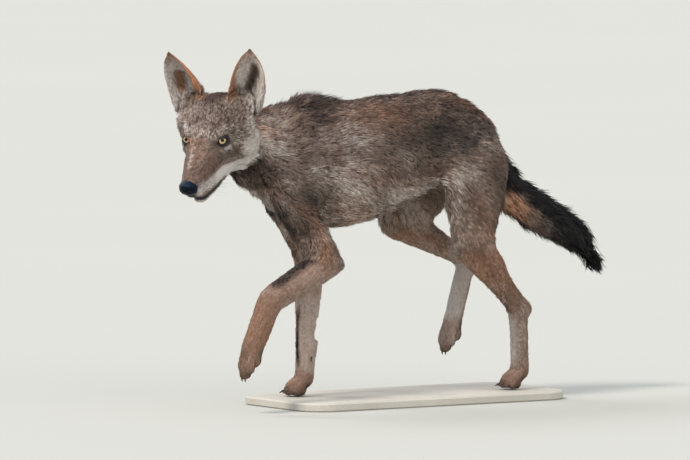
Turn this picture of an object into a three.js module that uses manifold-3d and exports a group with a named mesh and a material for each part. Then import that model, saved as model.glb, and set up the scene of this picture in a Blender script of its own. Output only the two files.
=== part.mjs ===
// A life-size young red wolf in mid stride, as a still museum model on a plain flat base.
// The right forefoot and the left hind foot carry it; the other two feet swing. It looks to its left.
// Millimetres, +Z up. The animal faces -Y and its left side is +X. The origin is on the floor, at the
// middle of the base's underside.
//
// The body is a soft field: tubes and ellipsoids that melt into each other. Each named part is meshed
// from that field on a grid of its own, out to the tips of the coat, and parted by thin cuts.
import * as THREE from "three";
import { mergeVertices } from "three/addons/utils/BufferGeometryUtils.js";
import Module from "manifold-3d";

// ---------- driving dimensions ----------
const withersHeight = 630; // top of the shoulders above the soles, coat included
const eyeOut = { left: 41.5, right: 38.5 }; // the eyeballs from the middle of the face, which looks a little aside
const eyeRadius = 12.5;
const headTurn = 30; // degrees to its left
const headNod = 28; // degrees nose down
const ear = { length: 118, rooted: 22, width: 78, thickness: 5 };
// each ear turns on its own: its axis in the head's frame, how far it opens outwards, and its root
const ears = {
  left: { axis: [-38, 24, 111], outward: 16, root: 63.5 },
  right: { axis: [-6, -23, 113], outward: 8, root: 65 },
};
const claw = { length: 17, radius: 3.2, rooted: 6 };
const base = { length: 660, width: 300, thickness: 18, corner: 60, bevel: 3, middleY: 205 };
const gap = 0.3; // between two parts that meet

const wasm = await Module();
wasm.setup();
const V = (x, y, z) => new THREE.Vector3(x, y, z);
const radians = THREE.MathUtils.degToRad;
const unit = withersHeight / 630; // the places below are given for a 630 mm animal that stands on z = 0
const at = (x, y, z) => V(x, y, z).multiplyScalar(unit);
const LEFT = V(1, 0, 0);
const BACK = V(0, 1, 0);
const UP = V(0, 0, 1);
const bodyWays = [LEFT, BACK, UP];
const sides = { left: 1, right: -1 };

// ---------- the head's own frame: forward, left and up from the point between the eyes ----------
const faceMiddle = at(85, -348, 557);
const headSwing = new THREE.Quaternion()
  .setFromAxisAngle(UP, radians(headTurn))
  .multiply(new THREE.Quaternion().setFromAxisAngle(LEFT, radians(headNod)));
const forward = V(0, -1, 0).applyQuaternion(headSwing);
const leftward = LEFT.clone().applyQuaternion(headSwing);
const upward = UP.clone().applyQuaternion(headSwing);
const headWays = [forward, leftward, upward];
const headWay = (f, l, u) =>
  V(0, 0, 0).addScaledVector(forward, f).addScaledVector(leftward, l).addScaledVector(upward, u);
const inHead = (f, l, u) => headWay(f, l, u).multiplyScalar(unit).add(faceMiddle);

// ---------- the soft field ----------
const pieces = []; // each has distance(p), a ball that holds it, and the width that it melts over

// How far a point is from an ellipsoid, from the squares of its offsets along the three radii.
function ellipsoidDistance(x2, y2, z2, a, b, c) {
  const share = Math.sqrt(x2 / (a * a) + y2 / (b * b) + z2 / (c * c));
  if (share < 1e-3) return -Math.min(a, b, c);
  const steep = Math.sqrt(x2 / a ** 4 + y2 / b ** 4 + z2 / c ** 4);
  return (share * (share - 1)) / steep;
}

// A tube through stations [place, half height, half width]; side is the way its width runs.
function tube(stations, { side = LEFT, melt = 12, steps = 4 } = {}) {
  const line = new THREE.CatmullRomCurve3(stations.map(([place]) => place), false, "centripetal");
  const sizes = new THREE.CatmullRomCurve3(stations.map(([, high, wide]) => at(high, wide, 0)));
  const count = (stations.length - 1) * steps;
  const links = [];
  for (let i = 0; i < count; i++) {
    const from = line.getPoint(i / count);
    const run = line.getPoint((i + 1) / count).sub(from);
    const way = run.clone().normalize();
    const across = side.clone().addScaledVector(way, -side.dot(way)).normalize();
    const [a, b] = [sizes.getPoint(i / count), sizes.getPoint((i + 1) / count)];
    links.push({ from, run, way, across, length2: run.lengthSq(), a, b });
  }
  const centre = links.reduce((sum, link) => sum.add(link.from), V(0, 0, 0)).divideScalar(count);
  const reach = Math.max(...links.map(({ from, run, a, b }) =>
    Math.max(from.distanceTo(centre), from.clone().add(run).distanceTo(centre)) + Math.max(a.x, a.y, b.x, b.y)));
  const e = V(0, 0, 0);
  const distance = (p) => {
    let best = Infinity;
    for (const { from, run, way, across, length2, a, b } of links) {
      e.copy(p).sub(from);
      const t = Math.min(1, Math.max(0, e.dot(run) / length2));
      e.addScaledVector(run, -t);
      const high = a.x + (b.x - a.x) * t;
      const wide = a.y + (b.y - a.y) * t;
      const x2 = e.dot(across) ** 2;
      const z2 = e.dot(way) ** 2;
      const y2 = Math.max(0, e.lengthSq() - x2 - z2);
      best = Math.min(best, ellipsoidDistance(x2, y2, z2, wide, high, Math.min(high, wide)));
    }
    return best;
  };
  pieces.push({ distance, centre, reach, melt: melt * unit });
}

// An ellipsoid with its three radii along the given directions.
function lump(place, radii, ways, melt = 12) {
  const [a, b, c] = radii.map((radius) => radius * unit);
  const e = V(0, 0, 0);
  const distance = (p) => {
    e.copy(p).sub(place);
    return ellipsoidDistance(e.dot(ways[0]) ** 2, e.dot(ways[1]) ** 2, e.dot(ways[2]) ** 2, a, b, c);
  };
  pieces.push({ distance, centre: place, reach: Math.max(a, b, c), melt: melt * unit });
}

// The trunk, from the breast to the rump, and the neck that rises out of it.
function trunkForm() {
  tube([
    [at(0, -78, 472), 104, 70],
    [at(0, -5, 485), 134, 84],
    [at(0, 90, 491), 136, 90],
    [at(0, 180, 512), 126, 80],
    [at(0, 262, 532), 106, 68],
    [at(0, 325, 530), 94, 70],
    [at(0, 378, 508), 78, 58],
  ], { melt: 20 });
  lump(at(0, -10, 565), [42, 90, 60], bodyWays, 30); // withers
  lump(at(0, 270, 572), [50, 84, 62], bodyWays, 30); // croup
  lump(at(0, -108, 440), [44, 36, 50], bodyWays, 25); // breast
  tube([
    [at(0, -30, 512), 118, 70],
    [at(6, -120, 520), 108, 68],
    [at(20, -195, 537), 91, 62],
    [at(38, -262, 563), 66, 56],
  ], { melt: 25 });
}

// The skull, cheeks, muzzle and jaw, in the head's frame.
function headForm() {
  const options = { side: leftward, melt: 10 };
  tube([
    [inHead(-96, 0, 12), 46, 62],
    [inHead(-52, 0, 10), 49, 66],
    [inHead(-10, 0, -8), 35, 51],
  ], options);
  tube([
    [inHead(-6, 0, -22), 36, 48],
    [inHead(30, 0, -36), 28, 41],
    [inHead(66, 0, -46), 23, 32],
    [inHead(98, 0, -52), 18, 23],
  ], options);
  tube([
    [inHead(-20, 0, -58), 32, 48],
    [inHead(20, 0, -66), 25, 38],
    [inHead(60, 0, -70), 21, 29],
    [inHead(92, 0, -73), 14, 19],
  ], options);
  tube([
    [inHead(-45, 0, -76), 26, 38],
    [inHead(10, 0, -92), 15, 26],
    [inHead(74, 0, -97), 10, 16],
  ], options);
  lump(inHead(110, 0, -49), [17, 20.5, 15], headWays, 5); // nose
  for (const s of Object.values(sides)) {
    lump(inHead(-36, s * 44, -28), [42, 28, 28], headWays, 14); // cheek bone
    lump(inHead(-68, s * 50, -34), [46, 38, 46], headWays, 18); // ruff
    lump(inHead(-58, s * 62, 6), [30, 28, 34], headWays, 16); // fluff before the ear
    lump(inHead(-4, s * 27, 12), [18, 17, 11], headWays, 10); // brow
    lump(inHead(-86, s * 58, 32), [24, 28, 26], headWays, 14); // root of the ear
  }
}

// The tail hangs from the rump and swings out behind.
function tailForm() {
  tube([
    [at(0, 405, 500), 40, 32],
    [at(0, 450, 437), 46, 34],
    [at(0, 495, 393), 48, 36],
    [at(0, 551, 362), 46, 38],
    [at(0, 616, 329), 41, 36],
    [at(0, 664, 293), 31, 28],
    [at(0, 680, 258), 14, 13],
  ], { melt: 14 });
}

// Where each leg's joints are; the first are inside the trunk. Sole is the way that the pads face.
const legs = {
  foreleg_left: {
    side: 1, blade: at(52, -35, 560), shoulder: at(64, -124, 420), elbow: at(76, -36, 290),
    wrist: at(106, -197, 219), knuckle: at(104, -244, 118), tip: at(102, -258, 70), sole: V(0, 0.96, -0.28),
    sizes: [[34, 25], [34, 26], [33, 25], [29, 24], [27, 23], [24, 23]],
  },
  foreleg_right: {
    side: -1, blade: at(-52, -15, 560), shoulder: at(-64, -66, 420), elbow: at(-66, 8, 305),
    wrist: at(-52, -7, 121), knuckle: at(-48, -16, 36), tip: at(-48, -54, 10), sole: V(0, 0, -1),
    sizes: [[36, 25], [33, 25], [28, 23], [26, 22], [23, 21], [20, 22]],
  },
  hindleg_left: {
    side: 1, hip: at(56, 350, 500), knee: at(84, 316, 322), hock: at(63, 446, 176),
    knuckle: at(52, 462, 38), tip: at(51, 424, 10), sole: V(0, 0, -1), calf: 1,
  },
  hindleg_right: {
    side: -1, hip: at(-56, 345, 500), knee: at(-88, 240, 358), hock: at(-70, 402, 272),
    knuckle: at(-60, 364, 136), tip: at(-60, 349, 90), sole: V(0, 0.94, -0.33), calf: 0.85,
  },
};
for (const leg of Object.values(legs)) leg.sole.normalize();

function forelegForm({ blade, shoulder, elbow, wrist, knuckle, sizes }) {
  tube([[blade, 46, 22], [shoulder.clone().lerp(blade, 0.35), 48, 26], [shoulder, 42, 28]], { melt: 34 });
  tube([[shoulder, 42, 28], [shoulder.clone().lerp(elbow, 0.55), 42, 29], [elbow, 34, 25]], { melt: 26 });
  const places = [
    elbow, elbow.clone().lerp(wrist, 0.3), elbow.clone().lerp(wrist, 0.7),
    wrist, wrist.clone().lerp(knuckle, 0.5), knuckle,
  ];
  tube(places.map((place, i) => [place, ...sizes[i]]), { melt: 12 });
  lump(elbow.clone().add(at(0, 22, -4)), [16, 16, 22], bodyWays, 12); // point of the elbow
}

function hindlegForm({ hip, knee, hock, knuckle, side, calf }) {
  const shank = hock.clone().sub(knee);
  const line = shank.clone().normalize();
  const down = knuckle.clone().sub(hock).normalize();
  const back = line.clone().addScaledVector(down, -line.dot(down)).normalize();
  tube([[hip, 86, 34], [hip.clone().lerp(knee, 0.55), 76, 34], [knee, 50, 29]], { melt: 30 });
  tube([
    [knee, 50 * calf, 29],
    [knee.clone().addScaledVector(shank, 0.35), 38 * calf, 25],
    [knee.clone().addScaledVector(shank, 0.75), 25, 18],
    [hock, 23, 18],
    [hock.clone().lerp(knuckle, 0.45).addScaledVector(back, 3 * unit), 22, 16],
    [knuckle, 21, 20],
  ], { melt: 12 });
  // The heel stands out behind the hock, and the tendon runs up from it.
  const behind = back.clone().addScaledVector(line, -back.dot(line)).normalize();
  const heel = hock.clone().addScaledVector(back, 29 * unit).addScaledVector(down, 9 * unit);
  const tendon = (share, out) =>
    knee.clone().addScaledVector(shank, share).addScaledVector(behind, out * unit);
  tube([[hock, 14, 13], [heel, 11, 11]], { melt: 10 });
  tube([[heel, 8, 9], [tendon(0.72, 11), 9, 9], [tendon(0.42, 18), 18, 14]], { melt: 14 });
  lump(knee.clone().add(at(side * 2, -12, 8)), [24, 24, 28], bodyWays, 14); // knee cap
}

// Four toes spread from the knuckle, with a claw at the end of each and a pad behind them.
const claws = [];
function pawForm(limb, { knuckle, tip, sole }) {
  const [kind, side] = limb.split("leg_");
  const ahead = tip.clone().sub(knuckle);
  const across = V(0, 0, 0).crossVectors(ahead, sole).normalize();
  const flat = V(0, 0, 0).crossVectors(sole, across).normalize(); // the toes' way, square to the sole's
  const under = V(0, 0, 0).crossVectors(across, ahead).normalize();
  [-1.5, -0.5, 0.5, 1.5].forEach((place, i) => {
    const inner = Math.abs(place) < 1;
    const start = knuckle.clone().addScaledVector(across, place * 8 * unit);
    const end = tip.clone().addScaledVector(across, place * 12.5 * unit)
      .addScaledVector(flat, (inner ? 7 : -7) * unit);
    const rise = start.clone().lerp(end, 0.55).addScaledVector(under, -5 * unit);
    tube([[start, 11, 9], [rise, 11, 9], [end, 10.6, 8.6]], { side: across, melt: 4, steps: 2 });
    claws.push({
      name: `claw_${kind}_${side}_${i + 1}`, host: `${kind}paw_${side}`, sole,
      place: end.clone().addScaledVector(flat, 7 * unit).addScaledVector(sole, -1.5 * unit),
      way: flat.clone().addScaledVector(sole, 0.35).normalize(),
    });
  });
  const pad = knuckle.clone().lerp(tip, 0.4).addScaledVector(sole, 14.8 * unit);
  lump(pad, [18, 19, 12], [flat, across, sole], 6);
}

// The small claw on the inner side of each foreleg, above the foot.
function dewclawForm(side, { wrist, knuckle, side: s }) {
  const down = knuckle.clone().sub(wrist).normalize();
  const inward = LEFT.clone().multiplyScalar(-s);
  const root = wrist.clone().lerp(knuckle, 0.42).addScaledVector(inward, 17 * unit);
  lump(root, [8, 8, 12], [inward, BACK, UP], 6);
  claws.push({
    name: `dewclaw_${side}`, host: `metacarpus_${side}`, sole: inward.clone().negate(),
    place: root.clone().addScaledVector(inward, 6 * unit).addScaledVector(down, 7 * unit), way: down,
  });
}

trunkForm();
headForm();
tailForm();
forelegForm(legs.foreleg_left);
forelegForm(legs.foreleg_right);
hindlegForm(legs.hindleg_left);
hindlegForm(legs.hindleg_right);
for (const [limb, leg] of Object.entries(legs)) pawForm(limb, leg);
dewclawForm("left", legs.foreleg_left);
dewclawForm("right", legs.foreleg_right);

const softMin = (a, b, k) => Math.min(a, b) - Math.max(k - Math.abs(a - b), 0) ** 2 / (4 * k);

// The field, from the pieces that come within a ball.
function fieldNear(middle, radius) {
  const near = pieces.filter(({ centre, reach, melt }) => middle.distanceTo(centre) < radius + reach + melt);
  return (p) => {
    let d = Infinity;
    for (const { distance, centre, reach, melt } of near) {
      if (d === Infinity) d = distance(p);
      else if (p.distanceTo(centre) - reach < d + melt) d = softMin(d, distance(p), melt);
    }
    return d;
  };
}

// ---------- meshing ----------
function solidOf(geometry) {
  const bare = new THREE.BufferGeometry();
  bare.setAttribute("position", geometry.getAttribute("position"));
  bare.setIndex(geometry.getIndex());
  const merged = mergeVertices(bare, 1e-3);
  return new wasm.Manifold(new wasm.Mesh({
    numProp: 3,
    vertProperties: Float32Array.from(merged.attributes.position.array),
    triVerts: Uint32Array.from(merged.index.array),
  }));
}

// A frame with its third axis along a direction, and its first as near to side as it can be.
function frameAlong(origin, way, side = LEFT) {
  const z = way.clone().normalize();
  const x = side.clone().addScaledVector(z, -side.dot(z)).normalize();
  return new THREE.Matrix4().makeBasis(x, V(0, 0, 0).crossVectors(z, x), z).setPosition(origin);
}

// A closed mesh of the field's surface inside a box in a frame. Each cell of a grid that the surface crosses
// gets a corner drawn onto it, each grid edge a square; then it is thinned to about the faces asked for.
function skinOf(frame, from, to, cell, faceCount) {
  const [low, high] = [from, to].map((corner) => V(...corner).multiplyScalar(unit));
  const [nx, ny, nz] = high.clone().sub(low).divideScalar(cell).ceil().addScalar(1).toArray();
  const field = fieldNear(low.clone().lerp(high, 0.5).applyMatrix4(frame), low.distanceTo(high) / 2);
  const q = V(0, 0, 0);
  const [inner, outer] = [low.clone().addScalar(cell * 1.5), high.clone().addScalar(-cell)];
  const value = (p) => Math.max(
    field(q.copy(p).applyMatrix4(frame)),
    inner.x - p.x, inner.y - p.y, inner.z - p.z, p.x - outer.x, p.y - outer.y, p.z - outer.z);
  const place = (i, j, k) => V(low.x + i * cell, low.y + j * cell, low.z + k * cell);
  const index = (i, j, k) => i + nx * (j + ny * k);
  const grid = new Float32Array(nx * ny * nz);
  for (let k = 0; k < nz; k++)
    for (let j = 0; j < ny; j++)
      for (let i = 0; i < nx; i++) grid[index(i, j, k)] = value(place(i, j, k));
  const places = [];
  const cells = new Map();
  const corner = (i, j, k, edge) => {
    const key = index(i, j, k);
    if (!cells.has(key)) cells.set(key, cellCorners((c) => [i + (c & 1), j + ((c >> 1) & 1), k + (c >> 2)]));
    return cells.get(key).get(edge);
  };
  const cellCorners = (nodeOf) => {
    const level = (c) => grid[index(...nodeOf(c))];
    const numbers = new Map();
    for (const patch of patchesOf(level)) {
      const p = V(0, 0, 0);
      for (const edge of patch) {
        const [from, to] = edgeEnds(edge);
        p.add(place(...nodeOf(from)).lerp(place(...nodeOf(to)), level(from) / (level(from) - level(to))));
      }
      drawOnto(p.divideScalar(patch.length), value);
      for (const edge of patch) numbers.set(edge, places.length);
      places.push(p);
    }
    return numbers;
  };
  const faces = [];
  const square = (ring, flip) => {
    const [a, b, c, d] = flip ? ring.reverse() : ring;
    faces.push([a, b, c], [a, c, d]);
  };
  for (let k = 1; k < nz - 1; k++)
    for (let j = 1; j < ny - 1; j++)
      for (let i = 1; i < nx - 1; i++) {
        const inside = grid[index(i, j, k)] < 0;
        if (inside !== grid[index(i + 1, j, k)] < 0)
          square([corner(i, j - 1, k - 1, "67"), corner(i, j, k - 1, "45"), corner(i, j, k, "01"),
            corner(i, j - 1, k, "23")], !inside);
        if (inside !== grid[index(i, j + 1, k)] < 0)
          square([corner(i - 1, j, k - 1, "57"), corner(i - 1, j, k, "13"), corner(i, j, k, "02"),
            corner(i, j, k - 1, "46")], !inside);
        if (inside !== grid[index(i, j, k + 1)] < 0)
          square([corner(i - 1, j - 1, k, "37"), corner(i, j - 1, k, "26"), corner(i, j, k, "04"),
            corner(i - 1, j, k, "15")], !inside);
      }
  const kept = thinOut(places, faces, faceCount, (p) => drawOnto(p, value, 1));
  const geometry = new THREE.BufferGeometry();
  geometry.setAttribute("position", new THREE.Float32BufferAttribute(places.flatMap((p) => p.toArray()), 3));
  geometry.setIndex(kept.flat());
  return solidOf(geometry.applyMatrix4(frame));
}

// Draws short, flat edges together, a batch at a time, until few enough faces are left.
function thinOut(places, faces, faceCount, settle) {
  const strays = places.map(() => new Float64Array(10)); // how far a point strays from a corner's first faces
  for (const face of faces) {
    const normal = normalOf(face, places);
    const weight = normal.length() || 1;
    const plane = [...normal.divideScalar(weight).toArray(), -normal.dot(places[face[0]])];
    for (const c of face)
      for (let i = 0, n = 0; i < 4; i++)
        for (let j = i; j < 4; j++) strays[c][n++] += plane[i] * plane[j] * weight * (i === j ? 1 : 2);
  }
  const stray = ({ x, y, z }, m) =>
    m[0] * x * x + m[1] * x * y + m[2] * x * z + m[3] * x +
    m[4] * y * y + m[5] * y * z + m[6] * y + m[7] * z * z + m[8] * z + m[9];
  while (faces.length > faceCount) {
    const around = places.map(() => []);
    for (const face of faces) for (const c of face) around[c].push(face);
    const edges = [];
    for (const face of faces)
      face.forEach((a, n) => {
        const b = face[(n + 1) % 3];
        if (a > b) return;
        const p = places[a].clone().lerp(places[b], 0.5);
        const cost = stray(p, strays[a]) + stray(p, strays[b])
          + 0.02 * places[a].distanceToSquared(places[b]);
        edges.push([cost, a, b, p]);
      });
    edges.sort((x, y) => x[0] - y[0]);
    const busy = new Set();
    const gone = new Set();
    for (const [, a, b, p] of edges.slice(0, Math.ceil(edges.length * 0.12))) {
      if (faces.length - gone.size <= faceCount) break;
      const ring = new Set([...around[a], ...around[b]].flat());
      const shared = around[a].filter((face) => around[b].includes(face));
      const [ofA, ofB] = [a, b].map((c) => new Set(around[c].flat()));
      const common = [...ofA].filter((c) => ofB.has(c)).length - 2;
      if ([...ring].some((c) => busy.has(c)) || shared.length !== 2 || common !== 2) continue;
      settle(p);
      const others = [...around[a], ...around[b]].filter((face) => !shared.includes(face));
      const turned = others.some((face) => {
        const before = normalOf(face, places).normalize();
        const after = normalOf(face.map((c) => (c === a || c === b ? -1 : c)), places, p).normalize();
        return before.dot(after) < 0.5;
      });
      if (turned) continue;
      places[a].copy(p);
      strays[b].forEach((value, n) => (strays[a][n] += value));
      for (const face of around[b]) face.forEach((c, n) => { if (c === b) face[n] = a; });
      for (const face of shared) gone.add(face);
      for (const c of ring) busy.add(c);
    }
    if (!gone.size) break;
    faces = faces.filter((face) => !gone.has(face));
  }
  return faces;
}

// A face's normal, as long as twice its area; corner -1 stands at p.
function normalOf(face, places, p) {
  const [a, b, c] = face.map((corner) => (corner < 0 ? p : places[corner]));
  return b.clone().sub(a).cross(c.clone().sub(a));
}

// A cell's corners are numbered by their bits (x 1, y 2, z 4), and its edges by their two corners.
const edgeEnds = (edge) => [Number(edge[0]), Number(edge[1])];
const edgeName = (a, b) => `${Math.min(a, b)}${Math.max(a, b)}`;
const cellFaces = [[0, 1, 3, 2], [4, 5, 7, 6], [0, 1, 5, 4], [2, 3, 7, 6], [0, 2, 6, 4], [1, 3, 7, 5]];

// The crossed edges of a cell, in one list for each separate patch of surface inside it.
function patchesOf(level) {
  const patch = new Map();
  const join = (a, b) => {
    const [from, to] = [patch.get(a) ?? [a], patch.get(b) ?? [b]];
    if (from === to) return;
    from.push(...to);
    for (const edge of from) patch.set(edge, from);
  };
  for (const ring of cellFaces) {
    const crossed = ring.map((c, n) => [c, ring[(n + 1) % 4]])
      .filter(([a, b]) => level(a) < 0 !== level(b) < 0);
    if (crossed.length === 2) join(edgeName(...crossed[0]), edgeName(...crossed[1]));
    if (crossed.length === 4)
      ring.forEach((c, n) => {
        if (level(c) < 0) join(edgeName(c, ring[(n + 1) % 4]), edgeName(c, ring[(n + 3) % 4]));
      });
  }
  return new Set(patch.values());
}

// Moves a point along the field's slope until it is on the surface.
function drawOnto(p, value, passes = 3, h = 0.5) {
  const step = (x, y, z) => value(V(p.x + x, p.y + y, p.z + z));
  for (let pass = 0; pass < passes; pass++) {
    const slope = V(step(h, 0, 0) - step(-h, 0, 0), step(0, h, 0) - step(0, -h, 0),
      step(0, 0, h) - step(0, 0, -h));
    slope.divideScalar(2 * h);
    const move = value(p) / Math.max(slope.lengthSq(), 0.3);
    p.addScaledVector(slope, -THREE.MathUtils.clamp(move, -6, 6));
  }
}

// ---------- cutting ----------
// A box in a frame, from one corner to the other; grown by the gap it is what the neighbour loses.
function block(frame, low, high, grow = 0) {
  const box = new THREE.Box3(V(...low), V(...high)).expandByScalar(grow);
  const size = box.getSize(V(0, 0, 0));
  const geometry = new THREE.BoxGeometry(size.x, size.y, size.z);
  geometry.applyMatrix4(new THREE.Matrix4().setPosition(box.getCenter(V(0, 0, 0)))).applyMatrix4(frame);
  return solidOf(geometry);
}

// What is left of a solid on the side of a plane that its normal points to.
const keep = (solid, place, normal, inset = 0) => {
  const way = normal.clone().normalize();
  return solid.trimByPlane(way.toArray(), way.dot(place) + inset);
};

// Parts a solid at a plane: [the side that the normal points to, the other side].
const part = (solid, place, normal) => [
  keep(solid, place, normal, gap / 2), keep(solid, place, normal.clone().negate(), gap / 2),
];

// The largest body of a solid: thin cuts can leave a crumb.
const largest = (solid) => solid.decompose().sort((a, b) => b.volume() - a.volume())[0];

// ---------- the parts ----------
const world = new THREE.Matrix4();
const headFrame = new THREE.Matrix4().makeBasis(...headWays).setPosition(faceMiddle);
const solids = {};

// The plane where the neck leaves the head, and the one where it enters the trunk.
const nape = { place: inHead(-106, 0, 0), normal: headWay(0.97, 0, 0.25) };
const neckRoot = { place: at(0, -108, 560), normal: V(0.1, -1, 0.55) };

// The head, less the lower jaw, the nose, the ears and the hollows that the eyes sit in.
function makeHead() {
  const skin = skinOf(headFrame, [-136, -112, -124], [140, 112, 84], 7.5, 1600);
  const whole = keep(skin, nape.place, nape.normal, gap / 2);
  const mouth = { low: [-4, -60, -140], high: [140, 60, -94] };
  const snout = { low: [106, -40, -67], high: [145, 40, 0] };
  const boxes = [mouth, snout].map(({ low, high }) => [low, high].map((c) => c.map((d) => d * unit)));
  let head = whole;
  for (const [low, high] of boxes) head = head.subtract(block(headFrame, low, high, gap));
  solids.lower_jaw = largest(whole.intersect(block(headFrame, ...boxes[0])));
  solids.nose = largest(whole.intersect(block(headFrame, ...boxes[1])));
  const flesh = [pushed(skin), pushed(neckSkin())];
  for (const [name, s] of Object.entries(sides)) {
    const eye = inHead(0, s * eyeOut[name], 0);
    solids[`eye_${name}`] = ball(eye, eyeRadius, 12);
    head = head.subtract(ball(eye, eyeRadius + gap, 12));
    solids[`ear_${name}`] = largest(makeEar(s, ears[name]).subtract(flesh[0]).subtract(flesh[1]));
  }
  solids.head = largest(head);
}

// A solid with its corners moved out by the gap.
function pushed(solid) {
  const mesh = solid.getMesh();
  const geometry = new THREE.BufferGeometry();
  geometry.setAttribute("position", new THREE.Float32BufferAttribute(mesh.vertProperties, 3));
  geometry.setIndex(Array.from(mesh.triVerts));
  geometry.computeVertexNormals();
  const [p, normal] = ["position", "normal"].map((name) => geometry.getAttribute(name));
  for (let i = 0; i < p.array.length; i++) p.array[i] += normal.array[i] * gap * 1.5;
  return solidOf(geometry);
}

function ball(centre, radius, fineness) {
  const geometry = new THREE.SphereGeometry(radius, fineness, Math.round(fineness * 0.7));
  return solidOf(geometry.translate(...centre.toArray()));
}

// An ear: a cupped shell with a crescent section that opens forwards and outwards, drawn in to its tip.
function makeEar(s, { axis, outward, root: rootOut }) {
  const way = headWay(...axis).normalize();
  const open = headWay(Math.cos(radians(outward)), s * Math.sin(radians(outward)), 0);
  open.addScaledVector(way, -open.dot(way)).normalize();
  const across = V(0, 0, 0).crossVectors(way, open);
  const root = inHead(-84, s * rootOut, 42);
  const [around, rings] = [7, 6];
  const positions = [];
  for (let ring = 0; ring <= rings; ring++) {
    const rise = ear.length * (ring / rings) - ear.rooted * (1 - ring / rings);
    const up = Math.max(0, rise / ear.length);
    const narrowing = Math.max(0.05, (1 - up ** 3) ** 0.75) * (0.92 + 0.08 * Math.sin(Math.PI * up));
    const half = (ear.width / 2) * narrowing;
    const spread = radians(108 - 60 * up);
    const radius = half / Math.sin(Math.min(spread, Math.PI / 2));
    const thick = Math.min(ear.thickness * (1 - 0.5 * up), half * 0.6);
    const inset = radius * Math.max(0, Math.cos(spread)); // puts the widest chord on the ear's own line
    const centre = root.clone().addScaledVector(way, rise * unit).addScaledVector(open, inset * unit);
    centre.addScaledVector(across, s * 4 * Math.sin(Math.PI * up) * unit);
    for (let n = 0; n < 2 * (around + 1); n++) {
      const outer = n <= around;
      const angle = spread * (((outer ? n : 2 * around + 1 - n) / around) * 2 - 1);
      const r = (outer ? radius : radius - thick) * unit;
      const p = centre.clone().addScaledVector(across, r * Math.sin(angle))
        .addScaledVector(open, -r * Math.cos(angle));
      positions.push(...p.toArray());
    }
  }
  const loop = 2 * (around + 1);
  const faces = [];
  for (let ring = 0; ring < rings; ring++)
    for (let n = 0; n < loop; n++) {
      const [a, b] = [ring * loop + n, ring * loop + ((n + 1) % loop)];
      faces.push(a, b, b + loop, a, b + loop, a + loop);
    }
  for (let n = 0; n < around; n++) {
    const [a, b, c, d] = [n, n + 1, loop - 2 - n, loop - 1 - n];
    const top = rings * loop;
    faces.push(a, c, b, a, d, c, top + a, top + b, top + c, top + a, top + c, top + d);
  }
  const geometry = new THREE.BufferGeometry();
  geometry.setAttribute("position", new THREE.Float32BufferAttribute(positions, 3));
  geometry.setIndex(faces);
  const solid = solidOf(geometry);
  return solid.volume() < 0 ? solidOf(flipped(geometry)) : solid;
}

function flipped(geometry) {
  const faces = Array.from(geometry.getIndex().array);
  for (let i = 0; i < faces.length; i += 3) [faces[i], faces[i + 1]] = [faces[i + 1], faces[i]];
  geometry.setIndex(faces);
  return geometry;
}

// Where each limb, and the tail, is boxed off from the trunk: a frame and two corners.
const flank = frameAlong(at(0, 240, 408), V(0, -0.29, 0.957));
const armpit = (y) => frameAlong(at(0, y, 372), V(0, 0.32, 0.947));
const limbBoxes = {
  foreleg_left: [armpit(-80), at(36, -340, -460), at(220, 110, 0)],
  foreleg_right: [armpit(-40), at(-220, -360, -460), at(-30, 120, 0)],
  hindleg_left: [flank, at(5, -300, -500), at(220, 260, 0)],
  hindleg_right: [flank, at(-220, -300, -500), at(-5, 260, 0)],
};
const tailBox = [world, at(-120, 428, 240), at(120, 760, 640)];

function neckSkin() {
  const frame = frameAlong(at(10, -150, 545), V(0.25, -0.9, 0.4));
  return skinOf(frame, [-130, -180, -130], [130, 180, 180], 14, 420);
}

function makeNeck() {
  const neck = keep(neckSkin(), neckRoot.place, neckRoot.normal, gap / 2);
  return largest(keep(neck, nape.place, nape.normal.clone().negate(), gap / 2));
}

function makeTrunk() {
  let trunk = skinOf(world, [-140, -240, 305], [140, 490, 690], 15, 1320);
  trunk = keep(trunk, neckRoot.place, neckRoot.normal.clone().negate(), gap / 2);
  for (const [frame, low, high] of [...Object.values(limbBoxes), tailBox])
    trunk = trunk.subtract(block(frame, low.toArray(), high.toArray(), gap));
  return largest(trunk);
}

function makeTail() {
  const frame = frameAlong(at(0, 428, 440), V(0, 0.83, -0.56));
  const tail = skinOf(frame, [-70, -110, -100], [70, 110, 360], 12, 380);
  return largest(tail.intersect(block(tailBox[0], tailBox[1].toArray(), tailBox[2].toArray())));
}

// One bone's length of a limb, meshed along it.
function limbSkin(from, to, room, cell, faceCount, spare = 60) {
  const way = to.clone().sub(from);
  const length = way.length() / unit + spare;
  return skinOf(frameAlong(from, way), [-room, -room, -spare], [room, room, length], cell, faceCount);
}

// The way that a cut through a joint faces: half between the bones that meet there.
const bend = (a, b, c) => b.clone().sub(a).normalize().add(c.clone().sub(b).normalize());

function makeForeleg(side) {
  const leg = legs[`foreleg_${side}`];
  const { shoulder, elbow, wrist, knuckle } = leg;
  const [frame, low, high] = limbBoxes[`foreleg_${side}`];
  const own = block(frame, low.toArray(), high.toArray());
  const elbowCut = bend(shoulder, elbow, wrist);
  const wristCut = bend(elbow, wrist, knuckle);
  const upper = limbSkin(shoulder, elbow, 92, 11, 300, 90).intersect(own);
  solids[`upper_foreleg_${side}`] = largest(part(upper, elbow, elbowCut)[1]);
  const lower = part(limbSkin(elbow, wrist, 78, 9, 260).intersect(own), elbow, elbowCut)[0];
  solids[`forearm_${side}`] = largest(part(lower, wrist, wristCut)[1]);
  [solids[`forepaw_${side}`], solids[`metacarpus_${side}`]] = makeFoot(leg, wrist, wristCut);
}

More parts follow.
